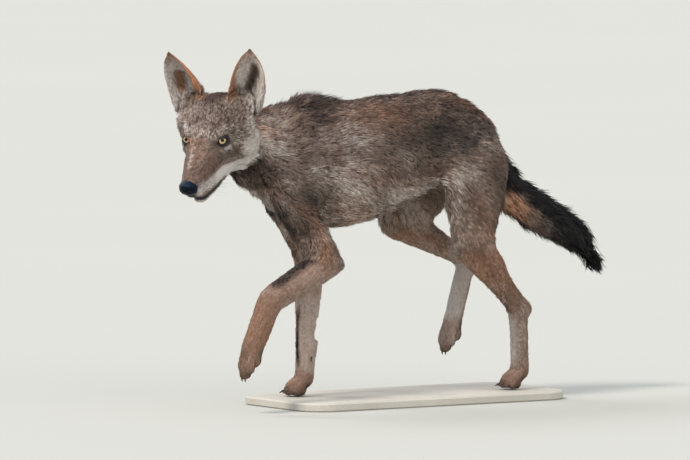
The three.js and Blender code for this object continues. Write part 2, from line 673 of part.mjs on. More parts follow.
function makeHindleg(side) {
  const leg = legs[`hindleg_${side}`];
  const { hip, knee, hock, knuckle } = leg;
  const [frame, low, high] = limbBoxes[`hindleg_${side}`];
  const tail = block(tailBox[0], tailBox[1].toArray(), tailBox[2].toArray(), gap);
  const own = block(frame, low.toArray(), high.toArray()).subtract(tail);
  const kneeCut = bend(hip, knee, hock);
  const hockCut = bend(knee, hock, knuckle);
  const upper = limbSkin(hip, knee, 128, 13, 340, 80).intersect(own);
  solids[`thigh_${side}`] = largest(part(upper, knee, kneeCut)[1]);
  const lower = part(limbSkin(knee, hock, 84, 8, 310).intersect(own), knee, kneeCut)[0];
  solids[`shank_${side}`] = largest(part(lower, hock, hockCut)[1]);
  [solids[`hindpaw_${side}`], solids[`metatarsus_${side}`]] = makeFoot(leg, hock, hockCut);
}

// The paw, and the long bones of the foot above it. The soles of a standing paw are flat.
function makeFoot({ knuckle, tip, sole }, joint, jointCut) {
  const bones = knuckle.clone().sub(joint);
  const ankle = knuckle.clone().addScaledVector(bones.clone().normalize(), -14 * unit);
  const long = part(limbSkin(joint, knuckle, 62, 7, 220, 50), joint, jointCut)[0];
  const toesWay = sole.z < -0.9 ? V(0, 0, -1) : tip.clone().sub(knuckle);
  const frame = frameAlong(knuckle, toesWay);
  let paw = part(skinOf(frame, [-46, -76, -48], [46, 48, 76], 4.5, 350), ankle, bones)[0];
  if (sole.z < -0.9) paw = keep(paw, V(0, 0, 0), UP);
  return [largest(paw), largest(part(long, ankle, bones)[1])];
}

// Pointed claws that curve towards the sole; each host is cut away around their roots.
function makeClaws() {
  for (const { name, host, place, way, sole } of claws) {
    solids[name] = clawSolid(place, way, sole, 0);
    solids[host] = largest(solids[host].subtract(clawSolid(place, way, sole, gap)));
  }
}

function clawSolid(place, way, sole, grow) {
  const geometry = new THREE.ConeGeometry(1, 1, 5, 2);
  const p = geometry.getAttribute("position");
  const across = V(0, 0, 0).crossVectors(way, sole).normalize();
  const side = V(0, 0, 0).crossVectors(across, way);
  for (let i = 0; i < p.count; i++) {
    const t = p.getY(i) + 0.5;
    const run = -claw.rooted - grow + t * (claw.length + 2 * grow);
    const out = Math.max(0, run / (claw.length - claw.rooted));
    const swell = t > 0.4 && t < 0.6 ? 1.5 : 1; // blunter than a cone
    const radius = swell * (claw.radius + grow);
    const q = place.clone().addScaledVector(way, run * unit).addScaledVector(sole, 2.6 * out * out * unit);
    q.addScaledVector(across, p.getX(i) * radius * 0.8 * unit)
      .addScaledVector(side, -p.getZ(i) * radius * unit);
    p.setXYZ(i, q.x, q.y, q.z);
  }
  const solid = solidOf(geometry);
  return solid.volume() < 0 ? solidOf(flipped(geometry)) : solid;
}

// A plate with rounded corners and edges. Its underside is the floor's plane.
function makeBase() {
  const [w, l, r] = [base.width / 2 - base.bevel, base.length / 2 - base.bevel, base.corner - base.bevel];
  const outline = new THREE.Shape();
  outline.absarc(w - r, l - r, r, 0, Math.PI / 2);
  outline.absarc(-w + r, l - r, r, Math.PI / 2, Math.PI);
  outline.absarc(-w + r, -l + r, r, Math.PI, Math.PI * 1.5);
  outline.absarc(w - r, -l + r, r, Math.PI * 1.5, Math.PI * 2);
  const geometry = new THREE.ExtrudeGeometry(outline, {
    depth: base.thickness - 2 * base.bevel, bevelThickness: base.bevel, bevelSize: base.bevel,
    bevelSegments: 1, curveSegments: 3,
  });
  return solidOf(geometry.translate(0, 0, base.bevel));
}

makeHead();
solids.neck = makeNeck();
solids.trunk = makeTrunk();
solids.tail = makeTail();
for (const side of Object.keys(sides)) {
  makeForeleg(side);
  makeHindleg(side);
}
makeClaws();

// ---------- materials and assembly ----------
const standard = (color, roughness) => new THREE.MeshStandardMaterial({ color, roughness, metalness: 0 });
const materials = {
  coat: standard(0x7a695c, 0.9),
  coatPale: standard(0xb39a86, 0.9),
  coatDark: standard(0x4a4039, 0.9),
  coatRufous: standard(0x9a6444, 0.9),
  nose: standard(0x1c2126, 0.45),
  eye: standard(0xb98a3e, 0.15),
  claw: standard(0x2b2522, 0.5),
  base: standard(0xb9b2a6, 0.7),
};
const slotOf = (name) => {
  if (name.includes("claw")) return materials.claw;
  if (name.startsWith("eye")) return materials.eye;
  if (name.startsWith("ear")) return materials.coatRufous;
  if (name === "nose") return materials.nose;
  if (name === "tail") return materials.coatDark;
  if (/jaw|paw|meta|forearm/.test(name)) return materials.coatPale;
  return materials.coat;
};

const wolf = new THREE.Group();
wolf.name = "red_wolf";
function addNode(name, geometry, material) {
  const mesh = new THREE.Mesh(geometry, material);
  mesh.name = name;
  wolf.add(mesh);
}

// The animal stands on the base, with the base's underside at the middle of the frame.
const lift = V(0, -base.middleY * unit, base.thickness + gap);
for (const [name, solid] of Object.entries(solids)) {
  const mesh = solid.getMesh();
  const geometry = new THREE.BufferGeometry();
  geometry.setAttribute("position", new THREE.Float32BufferAttribute(mesh.vertProperties, mesh.numProp));
  geometry.setIndex(Array.from(mesh.triVerts));
  addNode(name, geometry.translate(...lift.toArray()), slotOf(name));
}
const baseMesh = makeBase().getMesh();
const baseGeometry = new THREE.BufferGeometry();
baseGeometry.setAttribute("position", new THREE.Float32BufferAttribute(baseMesh.vertProperties, 3));
baseGeometry.setIndex(Array.from(baseMesh.triVerts));
addNode("stand_base", baseGeometry, materials.base);

export default wolf;
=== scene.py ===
# A life-size red wolf in mid stride, as a museum shows one: a single skin under a coat of tufts, glass eyes,
# nose, claws and whiskers, on a plain flat base.
import bpy
import bmesh
import math
import numpy as np
from functools import partialmethod
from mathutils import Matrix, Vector
from mathutils.bvhtree import BVHTree


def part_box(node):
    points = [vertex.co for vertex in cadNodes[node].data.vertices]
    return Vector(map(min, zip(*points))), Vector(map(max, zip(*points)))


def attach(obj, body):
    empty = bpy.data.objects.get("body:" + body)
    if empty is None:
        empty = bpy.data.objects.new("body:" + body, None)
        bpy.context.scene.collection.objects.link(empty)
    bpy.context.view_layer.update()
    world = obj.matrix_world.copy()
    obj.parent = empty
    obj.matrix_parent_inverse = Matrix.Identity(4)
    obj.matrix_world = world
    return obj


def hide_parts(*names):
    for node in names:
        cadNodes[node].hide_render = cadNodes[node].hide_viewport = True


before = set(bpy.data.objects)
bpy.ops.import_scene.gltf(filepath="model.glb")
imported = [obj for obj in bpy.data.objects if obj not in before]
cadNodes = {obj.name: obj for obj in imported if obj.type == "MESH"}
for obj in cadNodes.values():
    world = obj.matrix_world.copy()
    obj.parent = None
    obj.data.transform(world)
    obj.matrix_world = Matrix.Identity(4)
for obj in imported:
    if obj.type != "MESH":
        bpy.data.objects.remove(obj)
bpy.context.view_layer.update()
scene = bpy.context.scene
print("frame loaded")


def centreOf(name):
    low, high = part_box(name)
    return (low + high) / 2


def newObject(name, data):
    piece = bpy.data.objects.new(name, data)
    scene.collection.objects.link(piece)
    return piece


def newPiece(name, mesh, material, smooth=True):
    piece = newObject(name, mesh)
    if smooth:
        mesh.shade_smooth()
    if material:
        mesh.materials.clear()
        mesh.materials.append(material)
    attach(piece, "root")
    return piece


def meshOf(shape, name):
    # a bmesh as a mesh
    mesh = bpy.data.meshes.new(name)
    shape.to_mesh(mesh)
    shape.free()
    return mesh


def simpleMesh(name, operation, **settings):
    shape = bmesh.new()
    operation(shape, **settings)
    return meshOf(shape, name)


def outwardMesh(name, corners, faces):
    # one mesh whose faces all point out
    shape = bmesh.new()
    verts = [shape.verts.new(corner) for corner in corners]
    for face in faces:
        shape.faces.new([verts[n] for n in face])
    bmesh.ops.recalc_face_normals(shape, faces=shape.faces)
    return meshOf(shape, name)


def joinedNodes(names, swell=0.0):
    # the named nodes in one mesh, each pushed out a little; gives the mesh and how many faces each node has
    joined = bmesh.new()
    counts = []
    for name in names:
        part = bmesh.new()
        part.from_mesh(cadNodes[name].data)
        bmesh.ops.remove_doubles(part, verts=part.verts, dist=1e-6)
        part.normal_update()
        for vert in part.verts:
            vert.co += vert.normal * swell
        counts.append(len(part.faces))
        mesh = meshOf(part, "part")
        joined.from_mesh(mesh)
        bpy.data.meshes.remove(mesh)
    return meshOf(joined, "joined"), counts


def modify(piece, kind, **settings):
    modifier = piece.modifiers.new(kind.lower(), kind)
    for name, value in settings.items():
        setattr(modifier, name, value)


def evaluated(piece):
    # the mesh that a piece's modifiers make, as a plain mesh
    depsgraph = bpy.context.evaluated_depsgraph_get()
    return bpy.data.meshes.new_from_object(piece.evaluated_get(depsgraph), depsgraph=depsgraph)


def rowsOf(items, key, width=3, kind=float):
    # a property of a mesh's vertices, edges or faces as rows of numbers
    rows = np.empty(len(items) * width, dtype=kind)
    items.foreach_get(key, rows)
    return rows.reshape(-1, width)


def keep(mesh, name, values):
    # numbers, vectors or colours at a mesh's vertices, as an attribute
    values = np.asarray(values, "f")
    kind, key = {1: ("FLOAT", "value"), 3: ("FLOAT_VECTOR", "vector"),
                 4: ("FLOAT_COLOR", "color")}[values.size // len(mesh.vertices)]
    mesh.attributes.new(name, kind, "POINT").data.foreach_set(key, values.ravel())


def smoothStep(low, high, value):
    t = np.clip((value - low) / (high - low), 0, 1)
    return t * t * (3 - 2 * t)


def fade(low, high, value):
    return 1 - smoothStep(low, high, value)


def unitRows(rows):
    return rows / np.maximum(np.linalg.norm(rows, axis=1, keepdims=True), 1e-9)


# The head's own frame: forward, left and up from the middle of the face between the eyes, in millimetres
headSizes = {
    "noseDrop": 23.5,  # degrees that the nose lies below the forward way
    "eyesApart": 80,
    "aside": 1.5,  # how far the middle of the face lies to the right of the eyes' middle
}
sideSigns = {"left": 1, "right": -1}
eyeCentres = {side: centreOf("eye_" + side) for side in sideSigns}
noseDrop = math.radians(headSizes["noseDrop"])
leftward = (eyeCentres["left"] - eyeCentres["right"]).normalized()
mm = (eyeCentres["left"] - eyeCentres["right"]).length / headSizes["eyesApart"]
faceMiddle = (eyeCentres["left"] + eyeCentres["right"]) / 2 - leftward * headSizes["aside"] * mm
toNose = centreOf("nose") - faceMiddle
toNose = (toNose - leftward * toNose.dot(leftward)).normalized()
forward = toNose * math.cos(noseDrop) + toNose.cross(leftward) * math.sin(noseDrop)
upward = forward.cross(leftward)
headAxes = np.array([forward, leftward, upward])


def headWay(f, l, u):
    return forward * f + leftward * l + upward * u


def headPlaces(places):
    return (places - np.array(faceMiddle)) @ headAxes.T / mm


class Nodes:
    # makes the nodes of one tree; an input is given as another node's socket or as a plain value
    def __init__(self, tree):
        self.tree = tree
        self.place = None

    def feed(self, socket, value):
        if isinstance(value, bpy.types.NodeSocket):
            self.tree.links.new(value, socket)
        else:
            socket.default_value = value

    def node(self, kind, inputs=None, **settings):
        node = self.tree.nodes.new(kind)
        for name, value in settings.items():
            setattr(node, name, value)
        for key, value in (inputs or {}).items():
            self.feed(node.inputs[key], value)
        return node

    def out(self, kind, inputs=None, **settings):
        return self.node(kind, inputs, **settings).outputs[0]

    def math(self, operation, *values):
        return self.out("ShaderNodeMath", dict(enumerate(values)), operation=operation)

    add = partialmethod(math, "ADD")
    sub = partialmethod(math, "SUBTRACT")
    mul = partialmethod(math, "MULTIPLY")
    mulAdd = partialmethod(math, "MULTIPLY_ADD")

    def clamp(self, value):
        return self.out("ShaderNodeClamp", {0: value})

    def remap(self, value, low, high, to=0.0, upTo=1.0):
        return self.out("ShaderNodeMapRange", {0: value, 1: low, 2: high, 3: to, 4: upTo})

    def vector(self, operation, *values):
        node = self.node("ShaderNodeVectorMath", dict(enumerate(values)), operation=operation)
        return node.outputs["Value" if operation == "DOT_PRODUCT" else "Vector"]

    def scaled(self, vector, amount):
        return self.out("ShaderNodeVectorMath", {0: vector, "Scale": amount}, operation="SCALE")

    def objectPlace(self):
        if self.place is None:
            self.place = self.node("ShaderNodeTexCoord").outputs["Object"]
        return self.place

    def noise(self, scale, detail=2.0, vector=None):
        vector = self.objectPlace() if vector is None else vector
        return self.out("ShaderNodeTexNoise", {"Vector": vector, "Scale": scale, "Detail": detail})

    def ramp(self, value, *stops):
        # colours along a value, each with its place from 0 to 1
        node = self.node("ShaderNodeValToRGB", {0: value})
        spots = node.color_ramp.elements
        for spot, (place, colour) in zip(spots, (stops[0], stops[-1])):
            spot.position, spot.color = place, (*colour, 1)
        for place, colour in stops[1:-1]:
            spots.new(place).color = (*colour, 1)
        return node.outputs[0]

    def mix(self, share, a, b, blend="MIX"):
        inputs = {0: share, 6: a, 7: b}
        return self.node("ShaderNodeMix", inputs, data_type="RGBA", blend_type=blend).outputs[2]

    def mixVectors(self, share, a, b):
        return self.node("ShaderNodeMix", {0: share, 4: a, 5: b}, data_type="VECTOR").outputs[1]

    def bump(self, height, strength, distance):
        return self.out("ShaderNodeBump", {"Height": height, "Strength": strength, "Distance": distance})

    def read(self, name):
        return self.node("ShaderNodeAttribute", attribute_name=name).outputs

    def shade(self, colour, roughness, specular=0.5, normal=None):
        shader = self.tree.nodes["Principled BSDF"].inputs
        self.feed(shader["Base Color"], colour)
        self.feed(shader["Roughness"], roughness)
        self.feed(shader["Specular IOR Level"], specular)
        if normal:
            self.feed(shader["Normal"], normal)


def newGroup(name, kind, inputs, output):
    # a node group; its inputs and its one output are given as names with kinds of socket
    tree = bpy.data.node_groups.new(name, kind)
    for label, socket in inputs.items():
        tree.interface.new_socket(label, in_out="INPUT", socket_type="NodeSocket" + socket)
    tree.interface.new_socket(output[0], in_out="OUTPUT", socket_type="NodeSocket" + output[1])
    n = Nodes(tree)
    return n, n.node("NodeGroupInput").outputs


def newMaterial(name):
    material = bpy.data.materials.new(name)
    material.use_nodes = True
    return material, Nodes(material.node_tree)


def tonedMaterial(name, scale, detail, stops, roughness, specular=0.5, bump=None):
    # one noise between colours, and bumps of the same noise if wanted
    material, n = newMaterial(name)
    tone = n.noise(scale, detail)
    n.shade(n.ramp(tone, *stops), roughness, specular, bump and n.bump(tone, *bump))
    return material


# Each kind of part: the coat's depth in metres, its tufts' length and half width in millimetres and how many
# there are to a square millimetre; then the pale, rufous and black shares, how mottled and how streaky it is
coatTable = {
    "head": (0.006, 13, 0.62, 0.75, 0.41, 0.13, 0.06, 1.0, 0.25),
    "lower_jaw": (0.003, 8, 0.5, 0.8, 0.9, 0.0, 0.0, 0.6, 0.1),
    "nose": (0.001, 2, 0.4, 0.0, 0.0, 0.0, 1.0, 1.0, 0.1),
    "eye": (0.001, 3, 0.4, 0.5, 0.3, 0.1, 0.6, 1.0, 0.1),
    "ear": (0.0007, 8, 0.55, 0.55, 0.35, 0.65, 0.1, 0.7, 0.1),
    "neck": (0.020, 40, 1.3, 0.27, 0.43, 0.36, 0.08, 0.8, 1.0),
    "trunk": (0.013, 34, 1.25, 0.24, 0.37, 0.28, 0.10, 0.8, 1.0),
    "tail": (0.021, 46, 1.3, 0.34, 0.25, 0.15, 0.35, 1.0, 0.6),
    "upper_foreleg": (0.008, 22, 1.1, 0.3, 0.43, 0.32, 0.06, 1.0, 0.75),
    "forearm": (0.004, 12, 0.75, 0.34, 0.60, 0.50, 0.0, 0.35, 0.25),
    "metacarpus": (0.003, 9, 0.6, 0.4, 0.49, 0.62, 0.0, 0.3, 0.1),
    "forepaw": (0.0025, 7, 0.55, 0.5, 0.45, 0.5, 0.02, 0.35, 0.1),
    "thigh": (0.010, 28, 1.2, 0.28, 0.39, 0.28, 0.06, 0.55, 0.8),
    "shank": (0.0055, 15, 0.85, 0.34, 0.44, 0.52, 0.04, 0.6, 0.5),
    "metatarsus": (0.003, 9, 0.6, 0.4, 0.62, 0.4, 0.0, 0.4, 0.1),
    "hindpaw": (0.0025, 7, 0.55, 0.5, 0.45, 0.45, 0.03, 0.4, 0.1),
}
# Skin: one closed surface for all the flesh, drawn in from the coat's tips
skinSizes = {
    "voxel": 0.0016,
    "triangles": 186000,
    "sealing": 0.0004,  # how far each solid swells so that the thin cuts close
    "smoothRounds": 26,
}
kinds = list(coatTable)


def kindOf(name):
    return name.removesuffix("_left").removesuffix("_right")


fleshNames = [name for name in cadNodes if kindOf(name) in coatTable]


def makeSkinMesh():
    # gives the skin, a tree of the solids' faces, and the kind and side of each of those faces
    flesh, counts = joinedNodes(fleshNames, skinSizes["sealing"])
    labels = [(kinds.index(kindOf(name)), name.endswith("_right")) for name in fleshNames]
    labels = np.repeat(labels, counts, axis=0)
    shape = newObject("fleshShape", flesh)
    modify(shape, "REMESH", mode="VOXEL", voxel_size=skinSizes["voxel"])
    fine = evaluated(shape)
    shape.modifiers.clear()
    shape.data = fine
    # the face stays fine and the rest goes coarser
    fromFace = np.linalg.norm(headPlaces(rowsOf(fine.vertices, "co")) - [30, 0, -30], axis=1)
    levels = np.clip(np.round((0.07 + 0.93 * smoothStep(60, 120, fromFace)) * 10), 1, 10).astype(int)
    coarse = shape.vertex_groups.new(name="coarse")
    for level in range(1, 11):
        coarse.add(np.where(levels == level)[0].tolist(), level / 10, "REPLACE")
    triangles = sum(len(p.vertices) - 2 for p in fine.polygons)
    modify(shape, "DECIMATE", ratio=skinSizes["triangles"] / triangles, vertex_group="coarse",
           vertex_group_factor=1.0)
    modify(shape, "TRIANGULATE")
    skinMesh = evaluated(shape)
    bpy.data.objects.remove(shape)
    cad = BVHTree.FromPolygons([v.co for v in flesh.vertices], [tuple(p.vertices) for p in flesh.polygons])
    print("skin meshed:", triangles, "thinned to", len(skinMesh.polygons))
    return skinMesh, cad, labels


skinMesh, cadTree, faceLabels = makeSkinMesh()
skinCount = len(skinMesh.vertices)
outer = rowsOf(skinMesh.vertices, "co")
edgeStarts, edgeEnds = rowsOf(skinMesh.edges, "vertices", 2, np.int64).T
skinDegree = np.maximum(np.bincount(np.append(edgeStarts, edgeEnds), minlength=skinCount), 1)[:, None]


def gathered(values, weights=1.0):
    # at each corner of the skin, the sum of its neighbours' values
    return (np.bincount(edgeStarts, weights * values[edgeEnds], skinCount)
            + np.bincount(edgeEnds, weights * values[edgeStarts], skinCount))


def spread(values, rounds, share=0.6):
    # evens out values over neighbouring corners of the skin
    shape = np.shape(values)
    values = np.reshape(values, (skinCount, -1)).astype(float)
    share = np.broadcast_to(np.asarray(share, float).reshape(-1, 1), (skinCount, 1))
    for _ in range(rounds):
        near = np.stack([gathered(column) for column in values.T], axis=1)
        values = values + share * (near / skinDegree - values)
    return values.reshape(shape)


def normalsOf(places):
    skinMesh.vertices.foreach_set("co", places.ravel())
    skinMesh.update()
    return rowsOf(skinMesh.vertices, "normal")


# which kind of part each corner belongs to, and which side
skinKinds, skinRight = faceLabels[[cadTree.find_nearest(Vector(p))[2] for p in outer]].T
skinRight = skinRight.astype(bool)
table = np.array(list(coatTable.values()))[skinKinds]
head0 = headPlaces(outer)


def isKind(*names):
    return np.isin(skinKinds, [kinds.index(name) for name in names])


def isPart(kind, side):
    return isKind(kind) & (skinRight == (side == "right"))


def patch(places, centre, radii, edge=0.5):
    # 1 inside an ellipsoid, falling to 0 outside it over the share edge of its size
    reach = np.linalg.norm((places - np.array(centre)) / np.array(radii), axis=1)
    return fade(1 - edge / 2, 1 + edge / 2, reach)


def band(places, first, last, radius, edge=0.7):
    # 1 near the line from first to last, falling to 0 round it
    first, last = np.array(first, float), np.array(last, float)
    along = last - first
    share = np.clip((places - first) @ along / along.dot(along), 0, 1)
    reach = np.linalg.norm(places - first - share[:, None] * along, axis=1) / radius
    return fade(1 - edge / 2, 1 + edge / 2, reach)


# depth of the coat at each corner
isHead = isKind("head", "lower_jaw", "nose", "eye")
depth = np.where(isHead, 0.006 - 0.004 * smoothStep(-10, 40, head0[:, 0]), table[:, 0])
for s in (1, -1):
    depth += 0.008 * patch(head0, (-66, s * 60, -36), (44, 34, 46), 0.8) * isHead
depth = spread(depth, 30)

# smooth the facets away, least on the face and the feet, then bring the surface to its depth again
softness = np.where(isKind("ear"), 0.25, np.where(isKind("forepaw", "hindpaw"), 0.3, 0.6))
softness = np.where(isHead & (head0[:, 0] > -30), 0.35, softness)
places = spread(outer, skinSizes["smoothRounds"], softness)
normals = normalsOf(places)
drawnIn = ((outer - places) * normals).sum(1)
places = places - normals * spread(depth - drawnIn, 24)[:, None]
print("skin drawn in")

# Face: lids, mouth and nose pad worked into the skin
eyeSizes = {
    "ball": 12.5,
    "openFacing": {"left": (0.79, 0.42, 0.44), "right": (0.82, -0.06, 0.48)},  # forward, outward and up
    "gaze": {"left": (0.70, 0.47, 0.52), "right": (0.83, 0.02, 0.53)},  # forward, leftward and up
    "iris": 8.6,
    "pupil": 3.2,
    "cornea": 0.4,  # how far it stands proud of the ball
    "halfWidth": 9.8,
    "upperLid": 6.0,
    "lowerLid": 7.2,
    "lid": 1.5,  # the lids' thickness on the ball
    "thinnest": 1.25,  # what the skin round the lids keeps off the ball
    "cut": 0.82,  # share of the almond inside which the skin sinks into the ball
    "around": 17,  # how far the lids are worked out from the ball's middle
    "behind": -10,
    "rim": 0.95,
    "set": 2.2,  # how far the ball sits behind its solid
    "tilt": 5,  # degrees that the outer corner stands above the inner one
}


def lidFrame(side):
    # the opening's own frame: outwards, towards the outer corner, and up
    s = sideSigns[side]
    f, l, u = eyeSizes["openFacing"][side]
    out = headWay(f, s * l, u).normalized()
    across = headWay(-0.55, s * 0.8, 0)
    across = (across - out * across.dot(out)).normalized()
    up = out.cross(across) * s
    turn = math.radians(eyeSizes["tilt"])
    return out, across * math.cos(turn) + up * math.sin(turn), up * math.cos(turn) - across * math.sin(turn)


def lidEdge(steps):
    # the almond between the lids: x towards the outer corner, y up, in millimetres
    angle = np.linspace(-math.pi, math.pi, steps, endpoint=False)
    x = eyeSizes["halfWidth"] * np.cos(angle)
    y = np.sign(np.sin(angle)) * (1 - np.abs(np.cos(angle)) ** 2.4)
    y = y * np.where(y > 0, eyeSizes["upperLid"], eyeSizes["lowerLid"])
    inner = np.clip(-np.cos(angle), 0, 1)
    # drawn out and down into the tear duct
    return np.column_stack([x * (1 + 0.22 * inner ** 3), y - 2.2 * inner ** 3])


def lidShare(x, y):
    # how far out a place is, as a share of the almond's own size that way
    edge = lidEdge(240)
    angles = np.arctan2(edge[:, 1], edge[:, 0])
    order = np.argsort(angles)
    reach = np.interp(np.arctan2(y, x), angles[order], np.hypot(*edge.T)[order], period=2 * math.pi)
    return np.hypot(x, y) / reach


ballCentres = {side: eyeCentres[side] - lidFrame(side)[0] * eyeSizes["set"] * mm for side in sideSigns}
lidDark = np.zeros(skinCount)
for side in sideSigns:
    out, across, up = [np.array(way) for way in lidFrame(side)]
    centre = np.array(ballCentres[side])
    # brow above, cheek bone below
    brow = patch(places, centre + (up * 15 + out * 9 - across * 2) * mm, (0.015, 0.015, 0.011), 1.2)
    bone = patch(places, centre + (up * -15 + out * 7 + across * 4) * mm, (0.015, 0.015, 0.010), 1.2)
    places = places + np.outer(brow * 0.0026 + bone * 0.0012, out)
    way = (places - centre) / mm
    x, y, z = way @ across, way @ up, way @ out
    near = (np.hypot(x, y) < eyeSizes["around"]) & (z > eyeSizes["behind"])
    x, y, z, way = x[near], y[near], z[near], way[near]
    share = np.where(z > 0, lidShare(x, y), 2.0)
    reach = np.linalg.norm(way, axis=1)
    ball = eyeSizes["ball"]
    hold = fade(1.15, 1.7, share)  # the lids lie on the ball and run out into the face
    outside = np.maximum(reach + (ball + eyeSizes["lid"] - reach) * hold, ball + eyeSizes["thinnest"])
    wanted = np.where(share < eyeSizes["cut"], ball - 0.6, outside)
    places[near] = centre + way / reach[:, None] * wanted[:, None] * mm
    duct = np.hypot((x + 12.0) / 4.6, (y + 3.0) / 3.0)
    lidDark[near] = np.maximum.reduce([lidDark[near], fade(1.05, 1.2, share), fade(0.6, 1.0, duct)])

mouth = {"corner": 2, "height": -91, "rise": 15, "depth": 2.2, "halfWidth": 1.6, "blackHalf": 3.4}
head0 = headPlaces(places)
aboveMouth = head0[:, 2] - mouth["height"] - mouth["rise"] * smoothStep(78, 112, head0[:, 0])
fromMouth = np.abs(aboveMouth)
alongMouth = smoothStep(mouth["corner"] - 5, mouth["corner"] + 3, head0[:, 0]) * isHead
groove = alongMouth * fade(0.4, mouth["halfWidth"] * 1.6, fromMouth)
places = places - normalsOf(places) * (groove * mouth["depth"] * mm)[:, None]
lipWidth = mouth["blackHalf"] + 1.2 * fade(5, 45, head0[:, 0]) + 1.6 * smoothStep(90, 105, head0[:, 0])
lipDark = alongMouth * fade(lipWidth, lipWidth + 1.8, fromMouth + 0.9 * (aboveMouth > 0))
lipDark = np.maximum(lipDark, patch(head0, (108, 0, -75), (9, 9, 7), 0.6) * isHead)
skinNormals = normalsOf(places)
head0 = headPlaces(places)
f, l, u = head0.T
hollow = ((spread(places, 6) - places) * skinNormals).sum(1)
crease = smoothStep(0.0005, 0.0012, spread(hollow, 2))
print("face worked")

# The ears' own frames: root, tip, and the ways along the ear, out of its opening and across it
earFrames = {}
for side, s in sideSigns.items():
    co = rowsOf(cadNodes["ear_" + side].data.vertices, "co")
    tip = co[np.argmax(co[:, 2])]
    root = co[co[:, 2] < np.percentile(co[:, 2], 12)].mean(0)
    axis = (tip - root) / np.linalg.norm(tip - root)
    opening = np.array(headWay(1, s * 0.25, 0))
    opening = opening - axis * opening.dot(axis)
    opening /= np.linalg.norm(opening)
    earFrames[side] = (root, tip, axis, opening, np.cross(axis, opening))

# The lie of the coat: back along the body and the head, down the legs, up the ears
backward = np.array([0, 1.0, 0])
lie = backward - np.array([0, 0, 0.35]) * smoothStep(0.0, 0.05, np.abs(places[:, :1]))
lie[isKind("neck")] = (-0.25, 0.9, -0.35)
tailLow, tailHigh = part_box("tail")
tailTip = np.array([(tailLow.x + tailHigh.x) / 2, tailHigh.y, tailLow.z - 0.05])
lie[isKind("tail")] = unitRows(tailTip - places[isKind("tail")])
headSide = np.sign(l) * smoothStep(12, 45, np.abs(l))
headDown = 0.45 * np.abs(headSide) * fade(10, 40, u)
headLie = np.outer(headSide * 0.15, leftward) - np.array(forward) - np.outer(headDown, upward)
lie[isHead] = headLie[isHead]
for first, second in (("upper_foreleg", "forearm"), ("forearm", "metacarpus"), ("metacarpus", "forepaw"),
                      ("thigh", "shank"), ("shank", "metatarsus"), ("metatarsus", "hindpaw")):
    for side in sideSigns:
        way = np.array(centreOf(f"{second}_{side}")) - np.array(centreOf(f"{first}_{side}"))
        lie[isPart(first, side) | isPart(second, side)] = way / np.linalg.norm(way)
lie[isKind("thigh")] += backward * 0.4
earRoots = {}
for side in sideSigns:
    root, tip, axis, opening, across = earFrames[side]
    lie[isPart("ear", side)] = axis
    earRoots[side] = patch(places, root + opening * 0.012, (0.030, 0.030, 0.030), 0.6) * isHead
    lie += earRoots[side][:, None] * (axis * 1.6 - lie)
lie = unitRows(lie)
for _ in range(5):
    lie = spread(lie, 20)
    lie = unitRows(lie - skinNormals * (lie * skinNormals).sum(1, keepdims=True))

# the hair of the body sways a little from side to side
sway = spread(np.random.default_rng(8).normal(size=skinCount), 45)
sway *= 0.2 / sway.std() * spread(isKind("trunk", "neck", "thigh", "upper_foreleg"), 20)
lie = unitRows(lie + np.cross(skinNormals, lie) * np.clip(sway, -0.5, 0.5)[:, None])


def streaks(rounds, seed):
    # noise drawn out along the lie of the coat, as many times its usual size as its spread
    values = np.random.default_rng(seed).normal(size=skinCount)
    ways = unitRows(places[edgeEnds] - places[edgeStarts])
    weights = (ways * unitRows(lie[edgeStarts] + lie[edgeEnds])).sum(1) ** 6
    totals = gathered(np.ones(skinCount), weights) + 1e-6
    for _ in range(rounds):
        values += 0.7 * (gathered(values, weights) / totals - values)
    values = spread(values, 1)
    return (values - values.mean()) / values.std()


# Coat: length, width and number of tufts at each corner of the skin
muzzleShare = smoothStep(-15, 30, f)
ruffShare = np.maximum(*[patch(head0, (-66, s * 60, -40), (46, 40, 48), 0.8) for s in (1, -1)])
coatLength, coatWidth, coatDensity = table.T[1:4]
coatLength = np.where(isHead, 13 - 9 * muzzleShare + 14 * ruffShare, coatLength)
coatWidth = np.where(isHead, 0.64 - 0.33 * muzzleShare + 0.25 * ruffShare, coatWidth)
coatDensity = np.where(isHead, 0.6 + 0.7 * muzzleShare, coatDensity)
cling = np.full(skinCount, 0.75)  # how far the tufts keep to the skin
for side in sideSigns:
    coatLength += earRoots[side] * 8
    cling -= earRoots[side] * 0.65
    nearEye = patch(places, eyeCentres[side], (0.024, 0.024, 0.024), 0.8)
    coatLength += nearEye * (4.0 - coatLength)
    coatWidth += nearEye * (0.38 - coatWidth)
coatLength, coatWidth, coatDensity = spread(coatLength, 20), spread(coatWidth, 20), spread(coatDensity, 12)
bare = np.maximum.reduce([lidDark, lipDark * 0.9, (f > 104) & (u > -66) & isHead])
rooted = np.maximum(earRoots["left"], earRoots["right"])
coatDensity *= (1 - np.clip(bare * 1.6, 0, 1)) * (1 - 0.85 * crease * (1 - 0.6 * rooted) * ~isKind("ear"))
coatLength *= 1 - 0.5 * spread(bare, 3)

# Markings: pale, rufous and black shares at each corner, and how mottled they are
baseShares = spread(table[:, 4:8], 40)
markings, mottle = baseShares[:, :3], baseShares[:, 3]
lightStreaks, warmStreaks = streaks(60, 3) * 0.6 + streaks(12, 4) * 0.5, streaks(90, 5)
x, y, z = places.T
trunkLow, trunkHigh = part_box("trunk")
runs = (y - trunkLow.y) / (trunkHigh.y - trunkLow.y)  # 0 at the breast, 1 at the rump
height = (z - trunkLow.z) / (trunkHigh.z - trunkLow.z)
onTrunk = isKind("trunk", "neck", "thigh", "upper_foreleg")


